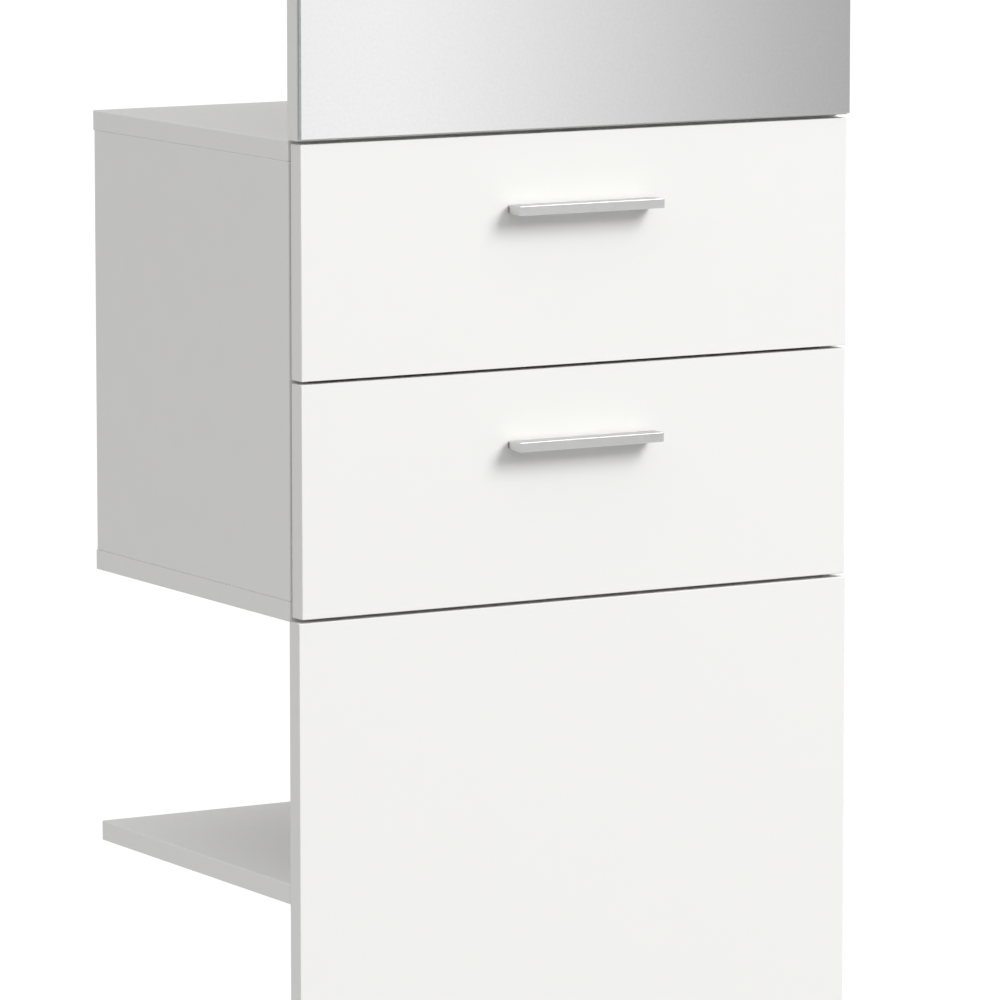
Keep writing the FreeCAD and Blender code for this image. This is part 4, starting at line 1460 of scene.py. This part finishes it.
def aimed(name, data, place, target):
    """An object at a place, turned so that its -Z axis meets the target."""
    obj = bpy.data.objects.new(name, data)
    obj.location = place
    obj.rotation_euler = (Vector(target) - Vector(place)).to_track_quat("-Z", "Y").to_euler()
    bpy.context.scene.collection.objects.link(obj)
    return obj


class HALLUNIT_OT_studio(bpy.types.Operator):
    """Set up the pale floor, the soft light and the camera"""

    bl_idname = "hallunit.studio"
    bl_label = "Studio"

    camera_place: FloatVectorProperty(
        name="Camera place", description="Where the camera stands", default=(-2.89690, -5.01090, 1.52743),
        subtype="TRANSLATION", unit="LENGTH"
    )
    camera_yaw: FloatProperty(
        name="Camera yaw", description="Turn to the right of straight ahead", default=math.radians(30.2274),
        subtype="ANGLE"
    )
    camera_pitch: FloatProperty(
        name="Camera pitch", description="Tilt above the horizon", default=math.radians(-7.8273), subtype="ANGLE"
    )
    key_place: FloatVectorProperty(
        name="Key light place", description="Where the large front light hangs", default=(6.6, -10.35, 9.0),
        subtype="TRANSLATION", unit="LENGTH"
    )
    key_target: FloatVectorProperty(
        name="Key light target", description="What the large front light is turned to", default=(0.0, 0.0, 0.9),
        subtype="TRANSLATION", unit="LENGTH"
    )

    def execute(self, context):
        self.set_up_world(context.scene)
        self.set_up_floor_and_wall()
        self.set_up_light()
        self.set_up_camera(context.scene)
        return {"FINISHED"}

    def set_up_world(self, scene):
        """A soft surround, brighter above, that the camera sees as plain white."""
        world = bpy.data.worlds.new("studio_surround")
        world.use_nodes = True
        tree = world.node_tree
        ways = add_node(tree, "ShaderNodeTexCoord").outputs["Generated"]
        rise = add_node(tree, "ShaderNodeVectorMath", {0: ways, 1: SKY_AXIS}, operation="DOT_PRODUCT")
        inputs = {
            "Value": rise.outputs["Value"], "From Min": SKY_FROM, "From Max": SKY_AT,
            "To Min": settings().studio.ground, "To Max": settings().studio.sky,
        }
        strength = add_node(tree, "ShaderNodeMapRange", inputs, interpolation_type="SMOOTHSTEP")
        ambient = tree.nodes["Background"]
        ambient.inputs["Color"].default_value = WHITE
        tree.links.new(strength.outputs["Result"], ambient.inputs["Strength"])
        white = add_node(tree, "ShaderNodeBackground", {"Color": WHITE, "Strength": WHITE_STRENGTH})
        seen = add_node(tree, "ShaderNodeLightPath")
        mixed(tree, seen.outputs["Is Camera Ray"], ambient, white, "World Output")
        scene.world = world
        scene.view_settings.view_transform = "Standard"

    def set_up_floor_and_wall(self):
        studio = settings().studio
        mesh = bmesh.new()
        bmesh.ops.create_circle(mesh, cap_ends=True, segments=96, radius=studio.floor_radius)
        floor = stage_object("floor", mesh, pale_floor())
        floor.visible_diffuse = False
        mesh = bmesh.new()
        rings = []
        for height in WALL_HEIGHTS:
            made = bmesh.ops.create_circle(
                mesh, segments=96, radius=WALL_RADIUS, matrix=Matrix.Translation((0, 0, height))
            )
            rings.append([edge for edge in mesh.edges if edge.verts[0] in made["verts"]])
        bmesh.ops.bridge_loops(mesh, edges=rings[0] + rings[1])
        wall = stage_object("studio_wall", mesh, studio_wall_light())
        for ray in ("camera", "diffuse", "transmission", "volume_scatter", "shadow"):
            setattr(wall, f"visible_{ray}", False)

    def set_up_light(self):
        studio = settings().studio
        key = bpy.data.lights.new("key_light", "AREA")
        key.shape = "SQUARE"
        key.size = studio.key_size
        key.energy = studio.key_power
        aimed("key_light", key, self.key_place, self.key_target).visible_camera = False

    def set_up_camera(self, scene):
        camera = bpy.data.cameras.new("camera")
        camera.sensor_width = 36.0
        camera.lens = settings().studio.lens
        camera.clip_end = 100.0
        obj = bpy.data.objects.new("camera", camera)
        obj.location = self.camera_place
        obj.rotation_euler = (math.pi / 2 + self.camera_pitch, 0.0, -self.camera_yaw)
        scene.collection.objects.link(obj)
        scene.camera = obj


# ---- Add-on ----

class HALLUNIT_PT_sidebar(bpy.types.Panel):
    """Lists the pieces of the hall unit"""

    bl_label = "Hall Unit"
    bl_idname = "HALLUNIT_PT_sidebar"
    bl_space_type = "VIEW_3D"
    bl_region_type = "UI"
    bl_category = "Hall Unit"

    def draw(self, context):
        column = self.layout.column(align=True)
        for operator in OPERATORS:
            column.operator(operator.bl_idname)


GROUPS = (
    BoardSettings, MirrorSettings, HandleSettings, FittingSettings, RunnerSettings, StudioSettings,
    HallUnitSettings,
)
OPERATORS = (
    HALLUNIT_OT_boards, HALLUNIT_OT_drawer_boards, HALLUNIT_OT_mirror, HALLUNIT_OT_handles,
    HALLUNIT_OT_coat_pegs, HALLUNIT_OT_wall_brackets, HALLUNIT_OT_runners, HALLUNIT_OT_rollers,
    HALLUNIT_OT_screws, HALLUNIT_OT_dowels, HALLUNIT_OT_cam_fittings, HALLUNIT_OT_gliders,
    HALLUNIT_OT_studio,
)


def register():
    for made_class in GROUPS + OPERATORS + (HALLUNIT_PT_sidebar,):
        bpy.utils.register_class(made_class)
    bpy.types.Scene.hall_unit = PointerProperty(type=HallUnitSettings)


def unregister():
    del bpy.types.Scene.hall_unit
    for made_class in reversed(GROUPS + OPERATORS + (HALLUNIT_PT_sidebar,)):
        bpy.utils.unregister_class(made_class)


def main():
    """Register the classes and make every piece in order."""
    register()
    for operator in OPERATORS:
        group, name = operator.bl_idname.split(".")
        getattr(getattr(bpy.ops, group), name)()


if __name__ == "__main__":
    main()
